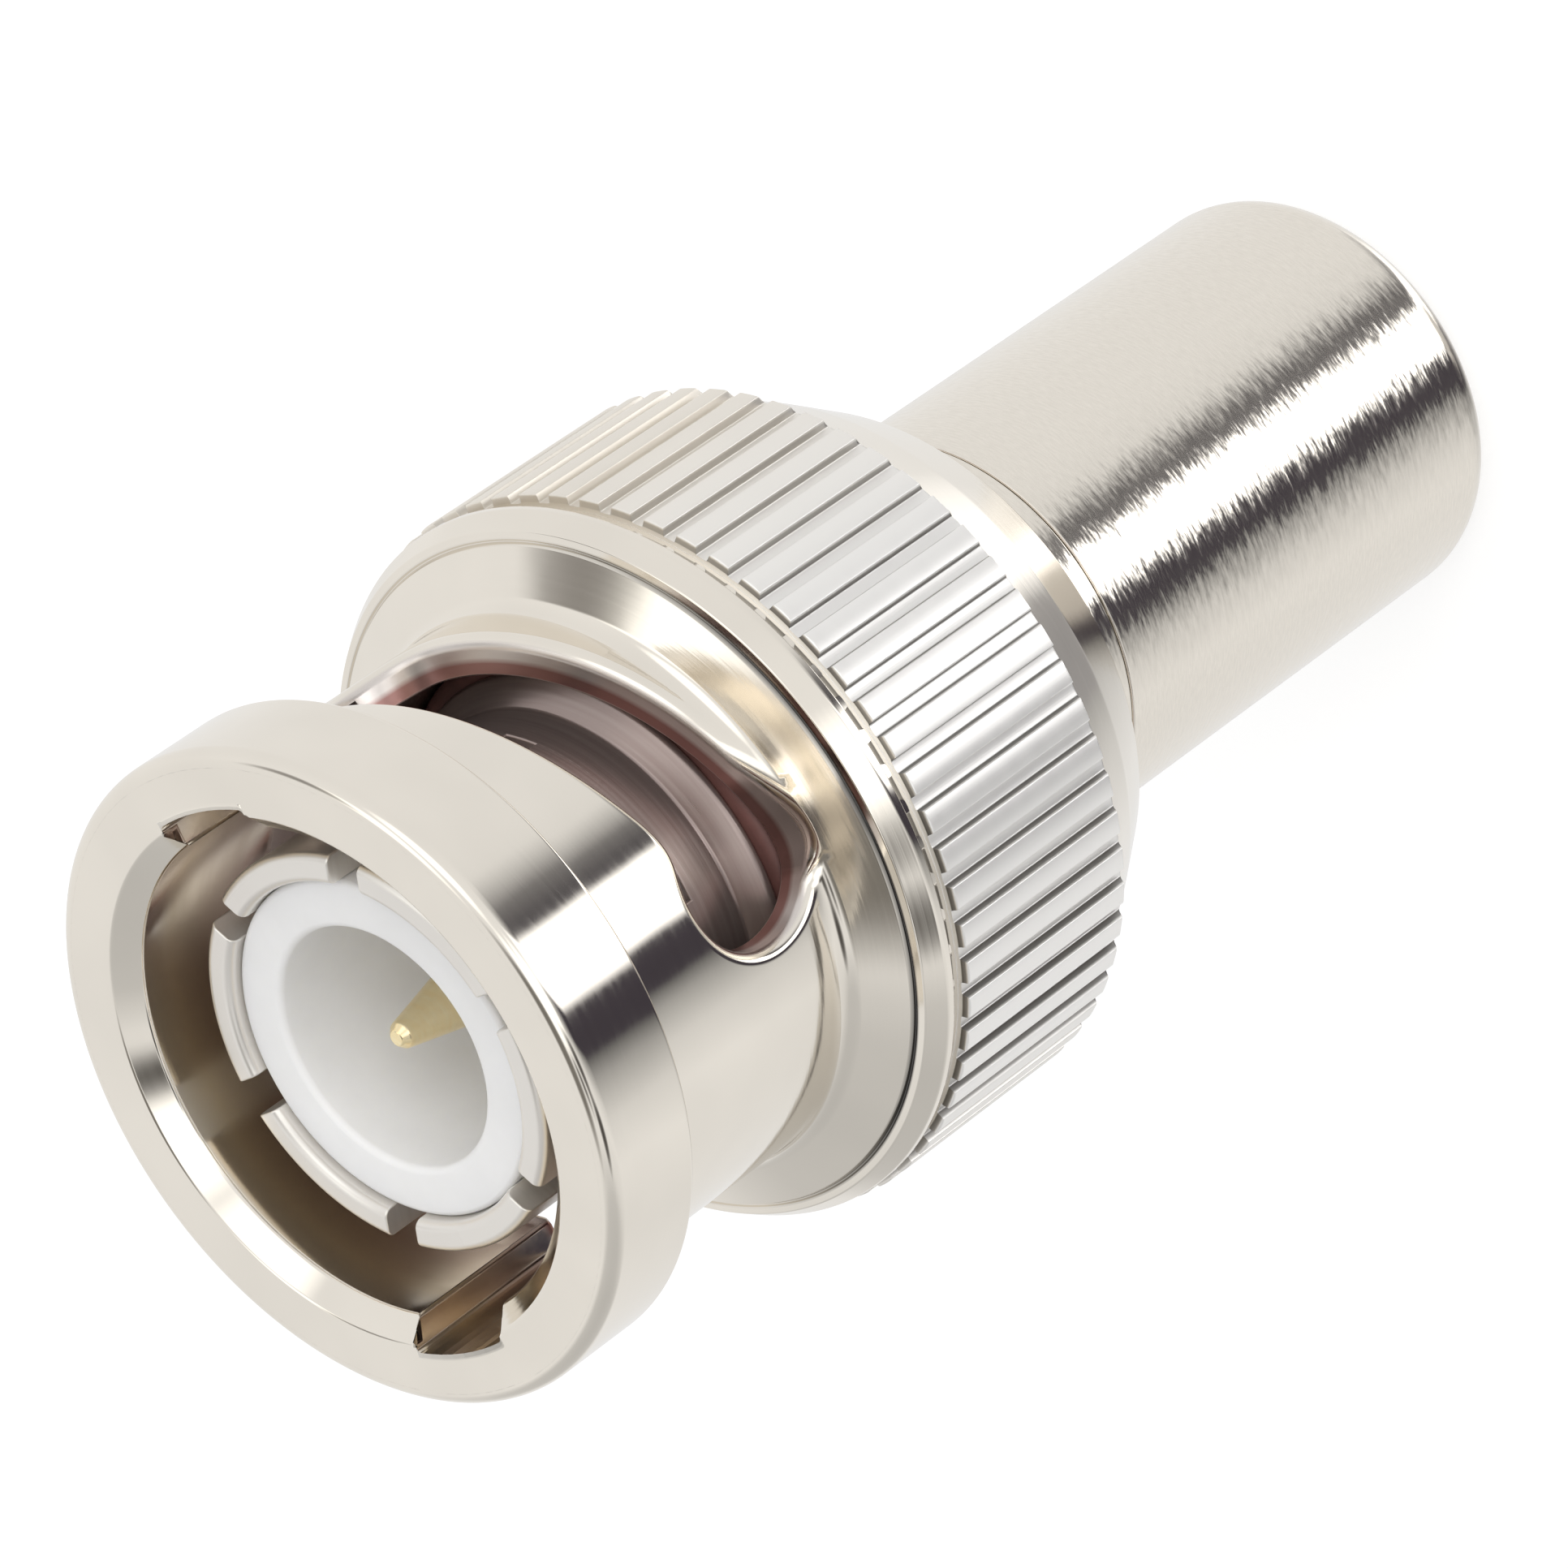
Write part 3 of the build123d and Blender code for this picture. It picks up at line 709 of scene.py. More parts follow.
def outer_contact(material):
    """Spring contact: shank, flange, gasket seat, bead and sleeve as turned, then the fingers."""
    skin = Skin()
    seat = CONTACT_FLANGE + CONTACT_FLANGE_LENGTH
    skin.lathe(outline([
        (CONTACT_SHANK_BORE_R, CONTACT_BASE, 0), (CONTACT_SHANK_R, CONTACT_BASE, EDGE),
        (CONTACT_SHANK_R, CONTACT_FLANGE, 0), (CONTACT_FLANGE_R, CONTACT_FLANGE, FINE_EDGE),
        (CONTACT_FLANGE_R, seat, FINE_EDGE), (GASKET_SEAT_R, seat, 0), (GASKET_SEAT_R, GASKET_FRONT, 0),
        (CONTACT_BEAD_R, GASKET_FRONT, CONTACT_BEAD_EDGE),
        (CONTACT_BEAD_R, GASKET_FRONT + CONTACT_BEAD_FLAT, CONTACT_BEAD_ROUND),
        (CONTACT_R, CONTACT_BEAD_TOP, EDGE), (CONTACT_R, FINGER_SLIT_FOOT, FINGER_EDGE),
        (CONTACT_BORE_R, FINGER_SLIT_FOOT, FINGER_EDGE),
        (CONTACT_BORE_R, CONTACT_FLOOR, 0), (CONTACT_SHANK_BORE_R, CONTACT_FLOOR, 0),
    ], closed=True), 240)
    spring_fingers(skin)
    return skin.piece("contact_finish", "terminator_body", "nickel_polished", material, "outer_contact")


def front_insulator(material):
    """Insulator with the deep round mouth, seated in the contact."""
    low, step, top = insulator_low[2], CONTACT_FLOOR + SEAT, insulator_high[2]
    foot_r, outer_r, pin_hole_r = CONTACT_SHANK_BORE_R - SEAT, CONTACT_BORE_R - SEAT, PIN_SHANK_R + SEAT
    skin = Skin()
    skin.lathe(outline([
        (foot_r, low, 0), (foot_r, step, 0), (outer_r, step, 0), (outer_r, top, INSULATOR_EDGE_ROUND),
        (INSULATOR_MOUTH_R, top, INSULATOR_MOUTH_ROUND),
        (INSULATOR_MOUTH_R, INSULATOR_FLOOR, INSULATOR_FLOOR_ROUND), (pin_hole_r, INSULATOR_FLOOR, 0),
        (pin_hole_r, low, 0),
    ], closed=True, arc_step=10))
    return skin.piece("insulator_finish", "terminator_body", "white_insulator", material, "front_insulator")


def centre_pin(material):
    """Pin with a long tapered point, a pressed shank, a collar and a tail."""
    tip, base = pin_high[2], pin_low[2]
    collar = CONTACT_BASE - SEAT
    collar_base = collar - PIN_COLLAR_LENGTH
    shoulder = INSULATOR_FLOOR + PIN_SHOULDER_RISE
    skin = Skin()
    skin.lathe(outline([
        (PIN_CUP_R, base, FINE_EDGE), (PIN_TAIL_R, base, EDGE), (PIN_TAIL_R, collar_base, 0),
        (PIN_COLLAR_R, collar_base, FINE_EDGE), (PIN_COLLAR_R, collar, FINE_EDGE), (PIN_SHANK_R, collar, 0),
        (PIN_SHANK_R, shoulder, FINE_EDGE), (PIN_R, shoulder, 0), (PIN_R, tip - PIN_TAPER, PIN_TAPER_BLEND),
        (PIN_NOSE_R, tip - PIN_NOSE, PIN_NOSE_ROUND), (PIN_TIP_R, tip, PIN_TIP_ROUND), (0, tip, 0),
    ], arc_step=8), 96)
    return skin.piece("pin_finish", "terminator_body", "gold", material, "centre_pin")


def gasket(material):
    """Gasket, swollen forward to the contact's bead."""
    low, bore_r = gasket_low[2], GASKET_SEAT_R + SEAT
    skin = Skin()
    skin.lathe(outline([
        (bore_r, low, GASKET_BORE_ROUND), (GASKET_R, low, GASKET_ROUND),
        (GASKET_R, GASKET_FRONT, GASKET_ROUND), (bore_r, GASKET_FRONT, GASKET_BORE_ROUND),
    ], closed=True))
    return skin.piece("gasket_finish", "terminator_body", "red_silicone", material, "gasket")


def wave_spring(material):
    """Wave washer between the thrust washer and the flat one."""
    turns = np.linspace(0, 2 * math.pi, 145)
    swing = (wave_high[2] - wave_low[2] - WAVE_THICK) / 2
    middle = (wave_high[2] + wave_low[2]) / 2 + swing * np.cos(WAVE_COUNT * turns)
    climb = -swing * WAVE_COUNT * np.sin(WAVE_COUNT * turns)
    skin = Skin()
    half = WAVE_THICK / 2
    rim = [(WAVE_INNER_R, -half), (WAVE_R, -half), (WAVE_R, half), (WAVE_INNER_R, half)]
    for (r0, z0), (r1, z1) in zip(rim, rim[1:] + rim[:1]):
        rows, tilts = [], []
        for r, z in ((r0, z0), (r1, z1)):
            flat = r0 != r1
            side = math.copysign(1, z) if flat else 0.0
            outward = 0.0 if flat else math.copysign(1, r - (WAVE_R + WAVE_INNER_R) / 2)
            level = np.full_like(turns, r)
            points, normals = polar(turns, level, middle + z, outward, -side * climb / r, side + 0 * turns)
            rows.append(points)
            tilts.append(normals)
        skin.grid(np.array(rows), np.array(tilts))
    made = skin.piece("spring_finish", "terminator_body", "spring_steel", material, "wave_washer")
    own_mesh(made)
    return made


def rear_shell(material):
    """Closed tube with a rounded tail edge."""
    inner_r = TUBE_R - TUBE_WALL
    skin = Skin()
    skin.lathe(outline([
        (0, 0, 0), (TUBE_R, 0, TUBE_TAIL_ROUND), (TUBE_R, TUBE_LENGTH, FINE_EDGE), (inner_r, TUBE_LENGTH, 0),
        (inner_r, TUBE_FLOOR, TUBE_INNER_ROUND), (0, TUBE_FLOOR, 0),
    ], arc_step=5), 256)
    return skin.piece("shell_finish", "terminator_body", "nickel_satin", material, "rear_shell")


def connector_body(material):
    """Body: spigot in the tube, collar, neck with the ring's groove, and the contact's socket."""
    spigot_r, socket_r = TUBE_R - TUBE_WALL - SEAT, CONTACT_SHANK_R + SEAT
    base, socket = TUBE_LENGTH + SEAT, CONTACT_BASE - SEAT
    neck, top = base + COLLAR_LENGTH, body_high[2]
    groove_low, groove_high = ring_low[2] - SEAT, ring_high[2] + SEAT
    skin = Skin()
    skin.lathe(outline([
        (BODY_BORE_R, body_low[2], 0), (spigot_r, body_low[2], EDGE), (spigot_r, base, 0),
        (TUBE_R, base, COLLAR_EDGE), (TUBE_R - COLLAR_TAPER, neck, EDGE), (NECK_R, neck, 0),
        (NECK_R, groove_low, 0), (RING_GROOVE_R, groove_low, 0), (RING_GROOVE_R, groove_high, 0),
        (NECK_R, groove_high, 0), (NECK_R, top, EDGE), (socket_r, top, 0), (socket_r, socket, 0),
        (BODY_BORE_R, socket, 0),
    ], closed=True), 256)
    return skin.piece("body_finish", "terminator_body", "nickel_satin", material, "connector_body")


class Nodes:
    """Node tree of a material or a world, with short calls for the nodes used here."""

    def __init__(self, owner):
        owner.use_nodes = True
        self.tree = owner.node_tree

    def feed(self, value, socket):
        """Links an output to a socket, or sets the socket's own value."""
        if isinstance(value, bpy.types.NodeSocket):
            self.tree.links.new(value, socket)
        elif socket.type == "RGBA":
            socket.default_value = (*value, 1)
        else:
            socket.default_value = value

    def make(self, kind, inputs, output=0, **settings):
        """Adds a node with its settings and inputs, and gives one of its outputs."""
        made = self.tree.nodes.new("ShaderNode" + kind)
        for key, value in settings.items():
            setattr(made, key, value)
        for key, value in inputs.items():
            self.feed(value, made.inputs[key])
        return made.outputs[output]

    def math(self, operation, *values):
        return self.make("Math", dict(enumerate(values)), operation=operation)

    def vector(self, operation, inputs, output="Vector"):
        return self.make("VectorMath", inputs, output, operation=operation)

    def times(self, first, *others):
        for other in others:
            first = self.math("MULTIPLY", first, other)
        return first

    def plus(self, first, *others):
        for other in others:
            first = self.math("ADD", first, other)
        return first

    def place(self):
        return self.make("TexCoord", {}, "Object")

    def coordinates(self):
        """Place on the part in metres: x, y, z and the distance from the axis."""
        x, y, z = self.make("SeparateXYZ", {0: self.place()}).node.outputs
        return x, y, z, self.math("SQRT", self.plus(self.times(x, x), self.times(y, y)))

    def around_axis(self, turn_scale, height_scale, radius_scale=0.0):
        """Coordinates that unroll the part: turn about Z, height and radius, each with its scale."""
        x, y, z, radius = self.coordinates()
        turn = self.times(self.math("ARCTAN2", y, x), turn_scale)
        scaled = turn, self.times(z, height_scale), self.times(radius, radius_scale)
        return self.make("CombineXYZ", dict(enumerate(scaled)))

    def noise(self, place, scale, detail=3.0, roughness=0.5):
        inputs = {"Vector": place, "Scale": scale, "Detail": detail, "Roughness": roughness}
        return self.make("TexNoise", inputs, "Fac")

    def window(self, value, low, high, **settings):
        """Maps low to high onto 0 to 1, and holds the ends."""
        inputs = {"Value": value, "From Min": low, "From Max": high}
        return self.make("MapRange", inputs, "Result", **settings)

    def span(self, value, low, high):
        """Maps 0 to 1 onto low to high."""
        return self.make("MapRange", {"Value": value, "To Min": low, "To Max": high}, "Result")

    def ramp(self, value, *stops):
        """Colour ramp from (position, level or colour) stops."""
        made = self.make("ValToRGB", {0: value}, "Color")
        elements = made.node.color_ramp.elements
        while len(elements) < len(stops):
            elements.new(0.5)
        for element, (position, level) in zip(elements, stops):
            element.position = position
            element.color = (*level, 1) if isinstance(level, tuple) else (level, level, level, 1)
        return made

    def stretched_ramp(self, value, low, high, *stops):
        """Colour ramp whose stops lie on a scale from low to high."""
        stops = [((position - low) / (high - low), level) for position, level in stops]
        return self.ramp(self.window(value, low, high), *stops)

    def mix(self, share, first, second):
        """Colour first, with a share of colour second over it."""
        return self.make("Mix", {"Factor": share, "A": first, "B": second}, "Result", data_type="RGBA")


class Surface(Nodes):
    """A material's nodes and its shader."""

    def __init__(self, name):
        self.material = bpy.data.materials.new(name)
        super().__init__(self.material)
        self.shader = self.tree.nodes["Principled BSDF"]

    def set(self, **values):
        """Sets or links the shader's sockets."""
        for key, value in values.items():
            self.feed(value, self.shader.inputs[key.replace("_", " ")])

    def bump(self, *layers):
        """Bump from (height, strength, distance in metres) layers, one over the other."""
        inputs = {}
        for height, strength, distance in layers:
            inputs.update({"Height": height, "Strength": strength, "Distance": distance})
            inputs["Normal"] = self.make("Bump", inputs, "Normal")
        self.set(Normal=inputs["Normal"])

    def sway(self, *layers):
        """Tilts the normal round Z by (noise, amount) layers, as marks do that run round the part."""
        x, y, _, _ = self.coordinates()
        around = self.vector("NORMALIZE", {0: self.make("CombineXYZ", {0: self.times(y, -1.0), 1: x})})
        amount = self.plus(*[self.times(self.math("SUBTRACT", value, 0.5), share) for value, share in layers])
        tilt = self.vector("SCALE", {0: around, "Scale": amount})
        tilted = self.vector("ADD", {0: tilt, 1: self.make("NewGeometry", {}, "Normal")})
        self.set(Normal=self.vector("NORMALIZE", {0: tilted}))


NICKEL = (0.90, 0.848, 0.765)
# Painted shade on the walls of the knurl's flutes, strongest on one side of the nut
FLUTE_PAINTED_SHADE = (0.15, 0.14, 0.13)
# Painted highlight: whiter colour over the knurl, strongest on one side of the nut
KNURL_PAINTED_HIGHLIGHT = (1.0, 0.985, 0.96)
# Slot walls' colour: their own satin tone, painted darker as shade inside the slots
SLOT_WALL_TONE_AND_SHADE = (0.74, 0.69, 0.655)
# Painted shade deep in the slots, reddish as if lit by the gasket
SLOT_DEEP_PAINTED_SHADE = (0.38, 0.215, 0.195)
# Painted shade in the scored line
SCORE_PAINTED_SHADE = (0.12, 0.115, 0.11)
# Bore colour by depth: a warm tone, with painted shade deep in and painted light towards the mouth
BORE_TONE_AND_LIGHT = [(0.0, (0.62, 0.53, 0.47)), (0.5, (0.72, 0.60, 0.47)), (0.85, (1.0, 0.86, 0.64))]
# Contact colour from deep in the nut to the tips: painted shade, dark and brownish deep in
CONTACT_SHADE_RAMP = [(0.10, (0.34, 0.268, 0.25)), (0.45, (0.56, 0.485, 0.455)), (0.95, (0.84, 0.81, 0.765))]

# Side of the nut where the painted highlight on the knurl and the painted shade in its flutes and in the
# scored line are strongest, as a unit vector across Z
PAINTED_SIDE = (-0.174, -0.985)


def tint(level):
    """Nickel's colour, dulled to a share of its full brightness."""
    return tuple(level * v for v in NICKEL)


def flute_lands(n, radius):
    """1 on the knurl's lands and on the floors of its flutes, down to 0.05 on the flutes' walls."""
    low, high = KNURL_ROOT_R - 0.10, KNURL_R + 0.02
    floor, land = KNURL_ROOT_R + 0.014, KNURL_R - 0.04
    stops = [(low, 1.0), (floor, 0.95), (floor + 0.018, 0.05), (land - 0.04, 0.25), (land, 1.0)]
    return n.stretched_ramp(radius, low, high, *stops)


def strip(n, radius, low, high, *stops):
    """Share that rises from 0 to 1 and falls again between two radii, at four stops of the way."""
    return n.ramp(n.window(radius, low, high), *zip(stops, (0.0, 1.0, 1.0, 0.0)))


def polished_nickel():
    """Bright nickel plate: faint turning lines, waviness, and a rougher knurl, bore and slot walls. A painted
    highlight on the knurl and painted shade in its flutes and in the scored line are strongest on one side.
    The bore has a warm tone with painted shade deep in and painted light near the mouth. The slot walls are
    painted darker as shade, and reddish deep in.
    """
    n = Surface("polished_nickel")
    lines = n.noise(n.around_axis(0.6, 9000, 9000), 1.0, 2.0)
    waves = n.noise(n.place(), 420, 2.0)
    x, y, z, radius = n.coordinates()
    # Share of the painted shade and highlight round the nut: full on one side, 0.10 on the other
    side = n.math("DIVIDE", n.plus(n.times(x, PAINTED_SIDE[0]), n.times(y, PAINTED_SIDE[1])), radius)
    painted_side_share = n.span(n.window(side, 0.1, 0.75), 0.10, 1.0)
    height, radius = n.times(z, 1 / MM), n.times(radius, 1 / MM)
    depth = n.math("SUBTRACT", NUT_FACE, height)
    over_tail = n.window(height, KNURL_BASE, KNURL_BASE + 0.02)
    in_knurl = n.times(over_tail, n.window(height, KNURL_TOP + 0.02, KNURL_TOP + 0.01))
    in_bore = n.times(n.window(radius, 5.62, 5.52), n.window(depth, 0.45, 1.20), n.window(depth, 4.0, 2.9))
    in_slot = n.times(n.window(radius, 5.64, 5.58), n.window(depth, 3.7, 3.9))
    deep_in_slot = n.times(in_slot, strip(n, radius, 4.95, 5.35, 0.0, 0.12, 0.60, 0.90))
    # Painted shade in the scored line between the step and the bead, strongest on one side of the nut
    in_score = n.times(strip(n, radius, 6.78, 6.98, 0.0, 0.30, 0.60, 0.80), painted_side_share)
    in_score = n.times(in_score, n.window(height, STEP_TOP - 0.20, STEP_TOP - 0.15))
    # Painted shade on the walls of the knurl's flutes, strongest on one side of the nut
    in_flute = n.times(n.math("SUBTRACT", 1.0, flute_lands(n, radius)), in_knurl, painted_side_share)
    # Bore: warm tone, with painted shade deep in and painted light towards the mouth
    bore_tone_and_light = n.ramp(n.window(depth, 3.6, 0.6), *BORE_TONE_AND_LIGHT)
    color = n.mix(in_bore, n.ramp(waves, (0.3, tint(0.95)), (0.7, tint(1.0))), bore_tone_and_light)
    # Slot walls: their own satin tone, painted darker as shade inside the slots
    color = n.mix(in_slot, color, SLOT_WALL_TONE_AND_SHADE)
    # Painted shade deep in the slots, reddish as if lit by the gasket
    color = n.mix(deep_in_slot, color, SLOT_DEEP_PAINTED_SHADE)
    # Painted highlight over the knurl, strongest on one side of the nut
    color = n.mix(n.times(in_knurl, painted_side_share), color, KNURL_PAINTED_HIGHLIGHT)
    color = n.mix(in_score, color, SCORE_PAINTED_SHADE)
    # Painted shade over the walls of the knurl's flutes
    color = n.mix(in_flute, color, FLUTE_PAINTED_SHADE)
    dull = n.plus(n.times(in_knurl, 0.34), n.times(in_slot, 0.22), n.times(in_bore, 0.14))
    n.set(Metallic=1.0, Base_Color=color, Roughness=n.plus(n.span(lines, 0.05, 0.13), dull))
    n.bump((waves, 0.10, 0.00008), (lines, 0.04, 0.00002))
    return n.material


def satin_nickel():
    """Nickel over fine turning marks, which draw short streaks round the part on the edges of reflections."""
    n = Surface("satin_nickel")
    fine = n.noise(n.around_axis(18.0, 21000), 1.0, 2.0, 0.6)
    broad = n.noise(n.around_axis(8.0, 9500), 1.0, 3.0, 0.6)
    color = n.ramp(fine, (0.3, tint(0.93)), (0.7, tint(1.0)))
    n.set(Metallic=1.0, Base_Color=color, Roughness=n.span(broad, 0.12, 0.18))
    n.sway((broad, 0.24), (fine, 0.14))
    return n.material


def contact_nickel():
    """Nickel of the spring contact: painted shade makes it dull and brown further into the nut, and it is
    bright at the tips.
    """
    n = Surface("contact_nickel")
    fine = n.noise(n.around_axis(1.0, 11000), 1.0, 3.0)
    z = n.coordinates()[2]
    low, high = (CONTACT_FACE - 3.2) * MM, (CONTACT_FACE - 0.4) * MM
    # Painted shade deep in the nut, fading to full brightness towards the tips
    lit_toward_tips = n.window(z, low, high, interpolation_type="SMOOTHSTEP")
    share = n.plus(n.times(fine, 0.3), n.times(lit_toward_tips, 0.8))
    color = n.ramp(share, *CONTACT_SHADE_RAMP)
    n.set(Metallic=0.8, Base_Color=color, Roughness=n.span(fine, 0.24, 0.36))
    n.bump((fine, 0.15, 0.00002))
    return n.material


def gold_plate():
    """Gold of the centre pin, with faint turning lines."""
    n = Surface("gold_plate")
    fine = n.noise(n.around_axis(1.0, 8000), 1.0, 2.0)
    color = n.ramp(fine, (0.3, (0.97, 0.80, 0.47)), (0.7, (1.0, 0.87, 0.57)))
    n.set(Metallic=1.0, Base_Color=color, Roughness=n.span(fine, 0.16, 0.26))
    n.bump((fine, 0.1, 0.00002))
    return n.material


def plain_surface(name, dark, light, rough, scale=1200.0, bump=0.1, **values):
    """Matt or satin surface with a slight mottle, for what is cast, moulded or drawn."""
    n = Surface(name)
    mottle = n.noise(n.place(), scale, 4.0, 0.6)
    n.set(Base_Color=n.ramp(mottle, (0.3, dark), (0.7, light)), Roughness=n.span(mottle, *rough), **values)
    n.bump((mottle, bump, 0.00003))
    return n.material


def white_fluoropolymer():
    return plain_surface(
        "white_fluoropolymer", (0.88, 0.88, 0.88), (0.93, 0.93, 0.93), (0.35, 0.50), scale=600.0, bump=0.04,
        Subsurface_Weight=0.35, Subsurface_Radius=(0.0010, 0.0010, 0.0009), Subsurface_Scale=1.0,
    )


def red_silicone():
    return plain_surface("red_silicone", (0.115, 0.050, 0.043), (0.175, 0.075, 0.065), (0.45, 0.6))


def spring_steel():
    return plain_surface("spring_steel", (0.42, 0.41, 0.40), (0.55, 0.54, 0.52), (0.25, 0.40), Metallic=1.0)


def tinned_wire():
    return plain_surface("tinned_wire", (0.60, 0.59, 0.57), (0.72, 0.71, 0.69), (0.25, 0.40), Metallic=1.0)


def solder():
    return plain_surface("solder", (0.58, 0.58, 0.60), (0.70, 0.70, 0.72), (0.15, 0.30), Metallic=1.0)


def ceramic_rod():
    return plain_surface("ceramic_rod", (0.84, 0.81, 0.74), (0.90, 0.88, 0.82), (0.6, 0.75))


def lacquer():
    return plain_surface("lacquer", (0.10, 0.22, 0.32), (0.15, 0.29, 0.40), (0.12, 0.22))


def sleeve_film():
    return plain_surface("sleeve_film", (0.72, 0.52, 0.24), (0.80, 0.61, 0.31), (0.3, 0.45))


def dress_nodes(material, *nodes):
    """Gives CAD nodes that stay as they are their procedural material."""
    for node in nodes:
        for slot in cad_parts[node].material_slots:
            slot.material = material


def camera_axes():
    """The row frame's axes as seen by the camera, as columns."""
    lean = -math.sin(AXIS_TURN)
    u = np.array([lean * math.cos(AXIS_SLANT), lean * math.sin(AXIS_SLANT), math.cos(AXIS_TURN)])
    level = np.cross(u, [0, 0, 1])
    level /= np.linalg.norm(level)
    upright = np.cross(u, level)
    c, s = math.cos(GROOVE_TURN), math.sin(GROOVE_TURN)
    return np.column_stack([c * level - s * upright, s * level + c * upright, u])


def make_camera():
    axes = camera_axes()
    place = np.array([0, 0, CONTACT_FACE]) - axes.T @ CONTACT_IN_VIEW
    data = bpy.data.cameras.new("view")
    data.lens = LENS
    data.sensor_width = SENSOR
    data.clip_start = 0.01
    data.clip_end = 10
    made = bpy.data.objects.new("view", data)
    turned = Matrix(axes.T.tolist()).to_4x4()
    made.matrix_world = Matrix.Translation(Vector(place * MM)) @ turned
    bpy.context.scene.collection.objects.link(made)
    bpy.context.scene.camera = made


# Directions in the tent, as the camera has them: X to its right, Y up and Z towards it
TENT_UP = (-0.12, 0.975, 0.185)
TENT_RIGHT = (0.99, 0.12, 0.01)

# Light of the tent from straight down, -1, to straight up, 1, on most sides and on its right
TENT = [(-1.0, 0.54), (-0.82, 0.60), (-0.66, 0.84), (0.0, 0.86), (0.3, 0.88), (1.0, 0.84)]
NIGHT = (0.055, 0.048, 0.060)
BANDS = [
    (-1.0, 0.66), (-0.45, 0.86), (-0.28, 0.72), (-0.12, 0.40), (-0.05, 0.18), (-0.02, NIGHT),
    (0.18, NIGHT), (0.25, 2.4), (0.50, 2.4), (0.55, (0.09, 0.085, 0.095)), (0.66, (0.12, 0.115, 0.12)),
    (0.77, 0.76), (1.0, 0.86),
]
RIGHT_SIDE = [(-1.0, 0.0), (0.35, 0.0), (0.80, 1.0), (1.0, 1.0)]

# Round patches in the tent: direction, angles in degrees where each starts to fade and is gone, light
PATCHES = [
    ((-0.90, -0.17, 0.42), 7, 16, (1.5, 1.5, 1.46)),
    ((-0.15, -0.30, 0.94), 10, 18, (1.5, 1.5, 1.48)),
    ((-0.52, 0.18, 0.83), 12, 20, (1.5, 1.5, 1.48)),
    ((0.22, -0.06, 0.97), 8, 17, (1.6, 1.6, 1.58)),
    ((-0.97, -0.08, 0.22), 5, 11, (0.28, 0.27, 0.26)),
    ((-0.48, -0.63, 0.61), 11, 21, (0.20, 0.19, 0.175)),
    ((0.34, -0.42, 0.84), 5, 12, (0.07, 0.065, 0.06)),
    ((0.42, -0.66, 0.62), 6, 14, (0.07, 0.065, 0.06)),
    ((0.02, -0.62, 0.79), 4, 8, (0.12, 0.115, 0.11)),
    ((0.85, 0.45, -0.42), 7, 13, (0.60, 0.58, 0.56)),
]


def make_world():
    """White tent with bands on its right and with round patches. The camera itself sees plain white."""
    world = bpy.data.worlds.new("studio")
    bpy.context.scene.world = world
    n = Nodes(world)
    axes = camera_axes()
    place = n.make("TexCoord", {}, "Generated")

    def tent_ramp(direction, stops):
        """Ramp over the cosine of the angle to a direction."""
        towards = axes.T @ np.array(direction)
        along = n.vector("DOT_PRODUCT", {0: place, 1: tuple(towards / np.linalg.norm(towards))}, "Value")
        return n.stretched_ramp(along, -1.0, 1.0, *stops)

    room = n.mix(tent_ramp(TENT_RIGHT, RIGHT_SIDE), tent_ramp(TENT_UP, TENT), tent_ramp(TENT_UP, BANDS))
    for direction, full, gone, light in PATCHES:
        edges = [(math.cos(math.radians(gone)), 0.0), (math.cos(math.radians(full)), 1.0)]
        room = n.mix(tent_ramp(direction, edges), room, light)
    seen = n.mix(n.make("LightPath", {}, "Is Camera Ray"), room, (1, 1, 1))
    n.feed(seen, n.tree.nodes["Background"].inputs["Color"])


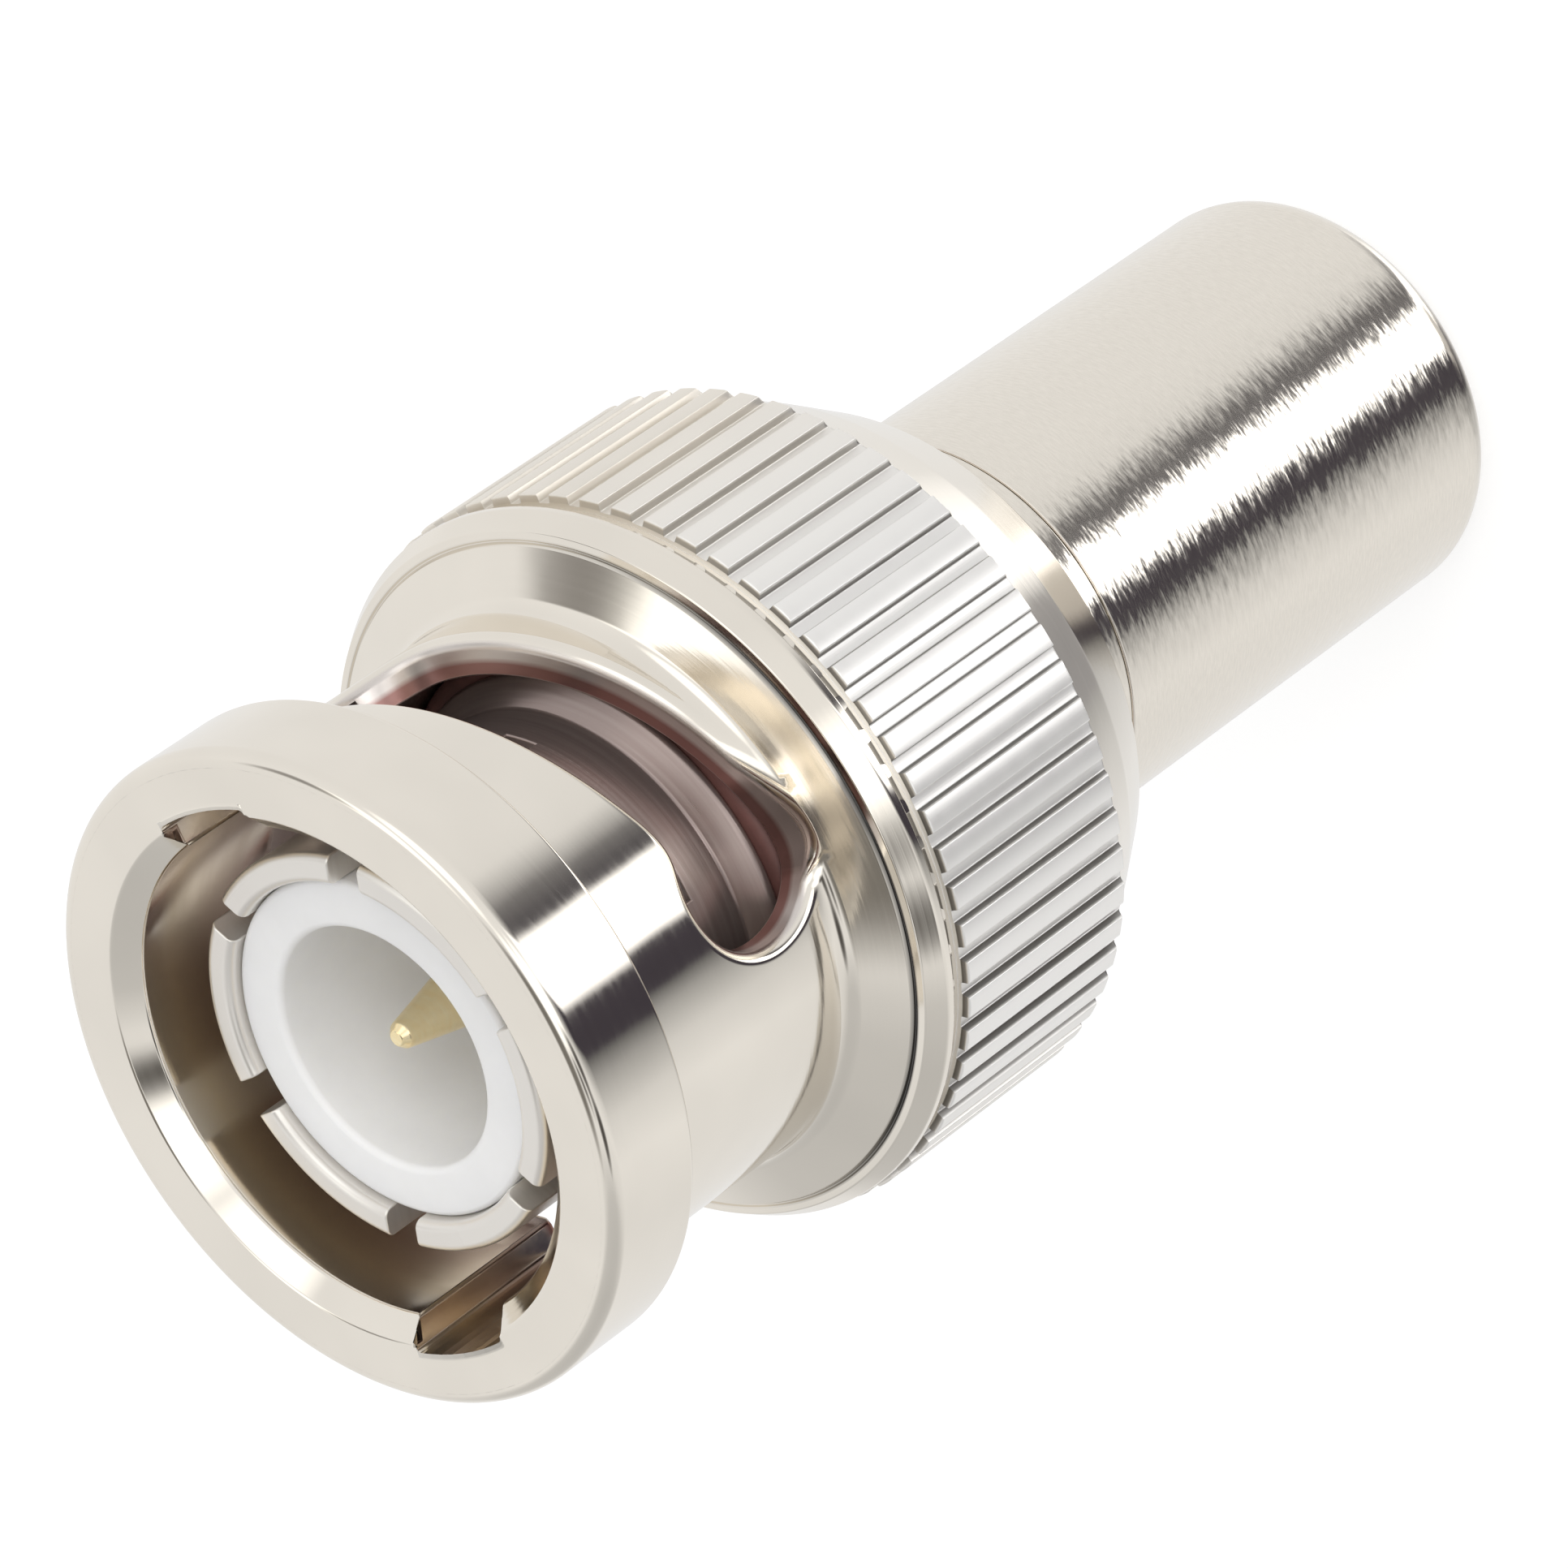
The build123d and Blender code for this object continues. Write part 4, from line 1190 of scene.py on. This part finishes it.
def make_floor():
    """Pale floor under the standing part. It stays out of the metal's reflections, which show the tent."""
    mesh = bpy.data.meshes.new("floor")
    mesh.from_pydata([(-2, -2, 0), (2, -2, 0), (2, 2, 0), (-2, 2, 0)], [], [(0, 1, 2, 3)])
    floor = bpy.data.objects.new("floor", mesh)
    bpy.context.scene.collection.objects.link(floor)
    material = bpy.data.materials.new("floor")
    n = Nodes(material)
    n.tree.nodes.clear()
    camera_ray = n.make("LightPath", {}, "Is Camera Ray")
    diffuse = n.make("BsdfDiffuse", {"Color": (0.5, 0.5, 0.5)})
    glow = n.make("Emission", {"Color": (0.64, 0.64, 0.64), "Strength": camera_ray})
    out = n.tree.nodes.new("ShaderNodeOutputMaterial")
    n.feed(n.make("AddShader", {0: diffuse, 1: glow}), out.inputs["Surface"])
    mesh.materials.append(material)
    floor.visible_glossy = False


def make_lamp():
    """Soft lamp a little above the camera, which lights the mouth of the insulator. Metal doesn't show it."""
    axes = camera_axes()
    data = bpy.data.lights.new("key", "SUN")
    data.energy = 0.7
    data.angle = math.radians(30)
    lamp = bpy.data.objects.new("key", data)
    towards = Vector((axes.T @ np.array([0.05, 0.35, 0.93])).tolist())
    lamp.matrix_world = towards.to_track_quat("Z", "Y").to_matrix().to_4x4()
    lamp.visible_glossy = False
    bpy.context.scene.collection.objects.link(lamp)


satin, insulating, steel, tinned = satin_nickel(), white_fluoropolymer(), spring_steel(), tinned_wire()
coupling_nut(polished_nickel())
outer_contact(contact_nickel())
front_insulator(insulating)
centre_pin(gold_plate())
gasket(red_silicone())
rear_shell(satin)
connector_body(satin)
wave_spring(steel)
dress_nodes(insulating, "rear_insulator")
dress_nodes(steel, "thrust_washer", "flat_washer", "retaining_ring")
dress_nodes(tinned, "resistor_cap_rear", "resistor_cap_front", "resistor_lead_rear", "resistor_lead_front")
dress_nodes(solder(), "solder_rear", "solder_front")
dress_nodes(ceramic_rod(), "resistor_core")
dress_nodes(lacquer(), "resistor_coating")
dress_nodes(sleeve_film(), "insulating_sleeve")
make_camera()
make_world()
make_lamp()
make_floor()
bpy.context.scene.view_settings.view_transform = "Standard"
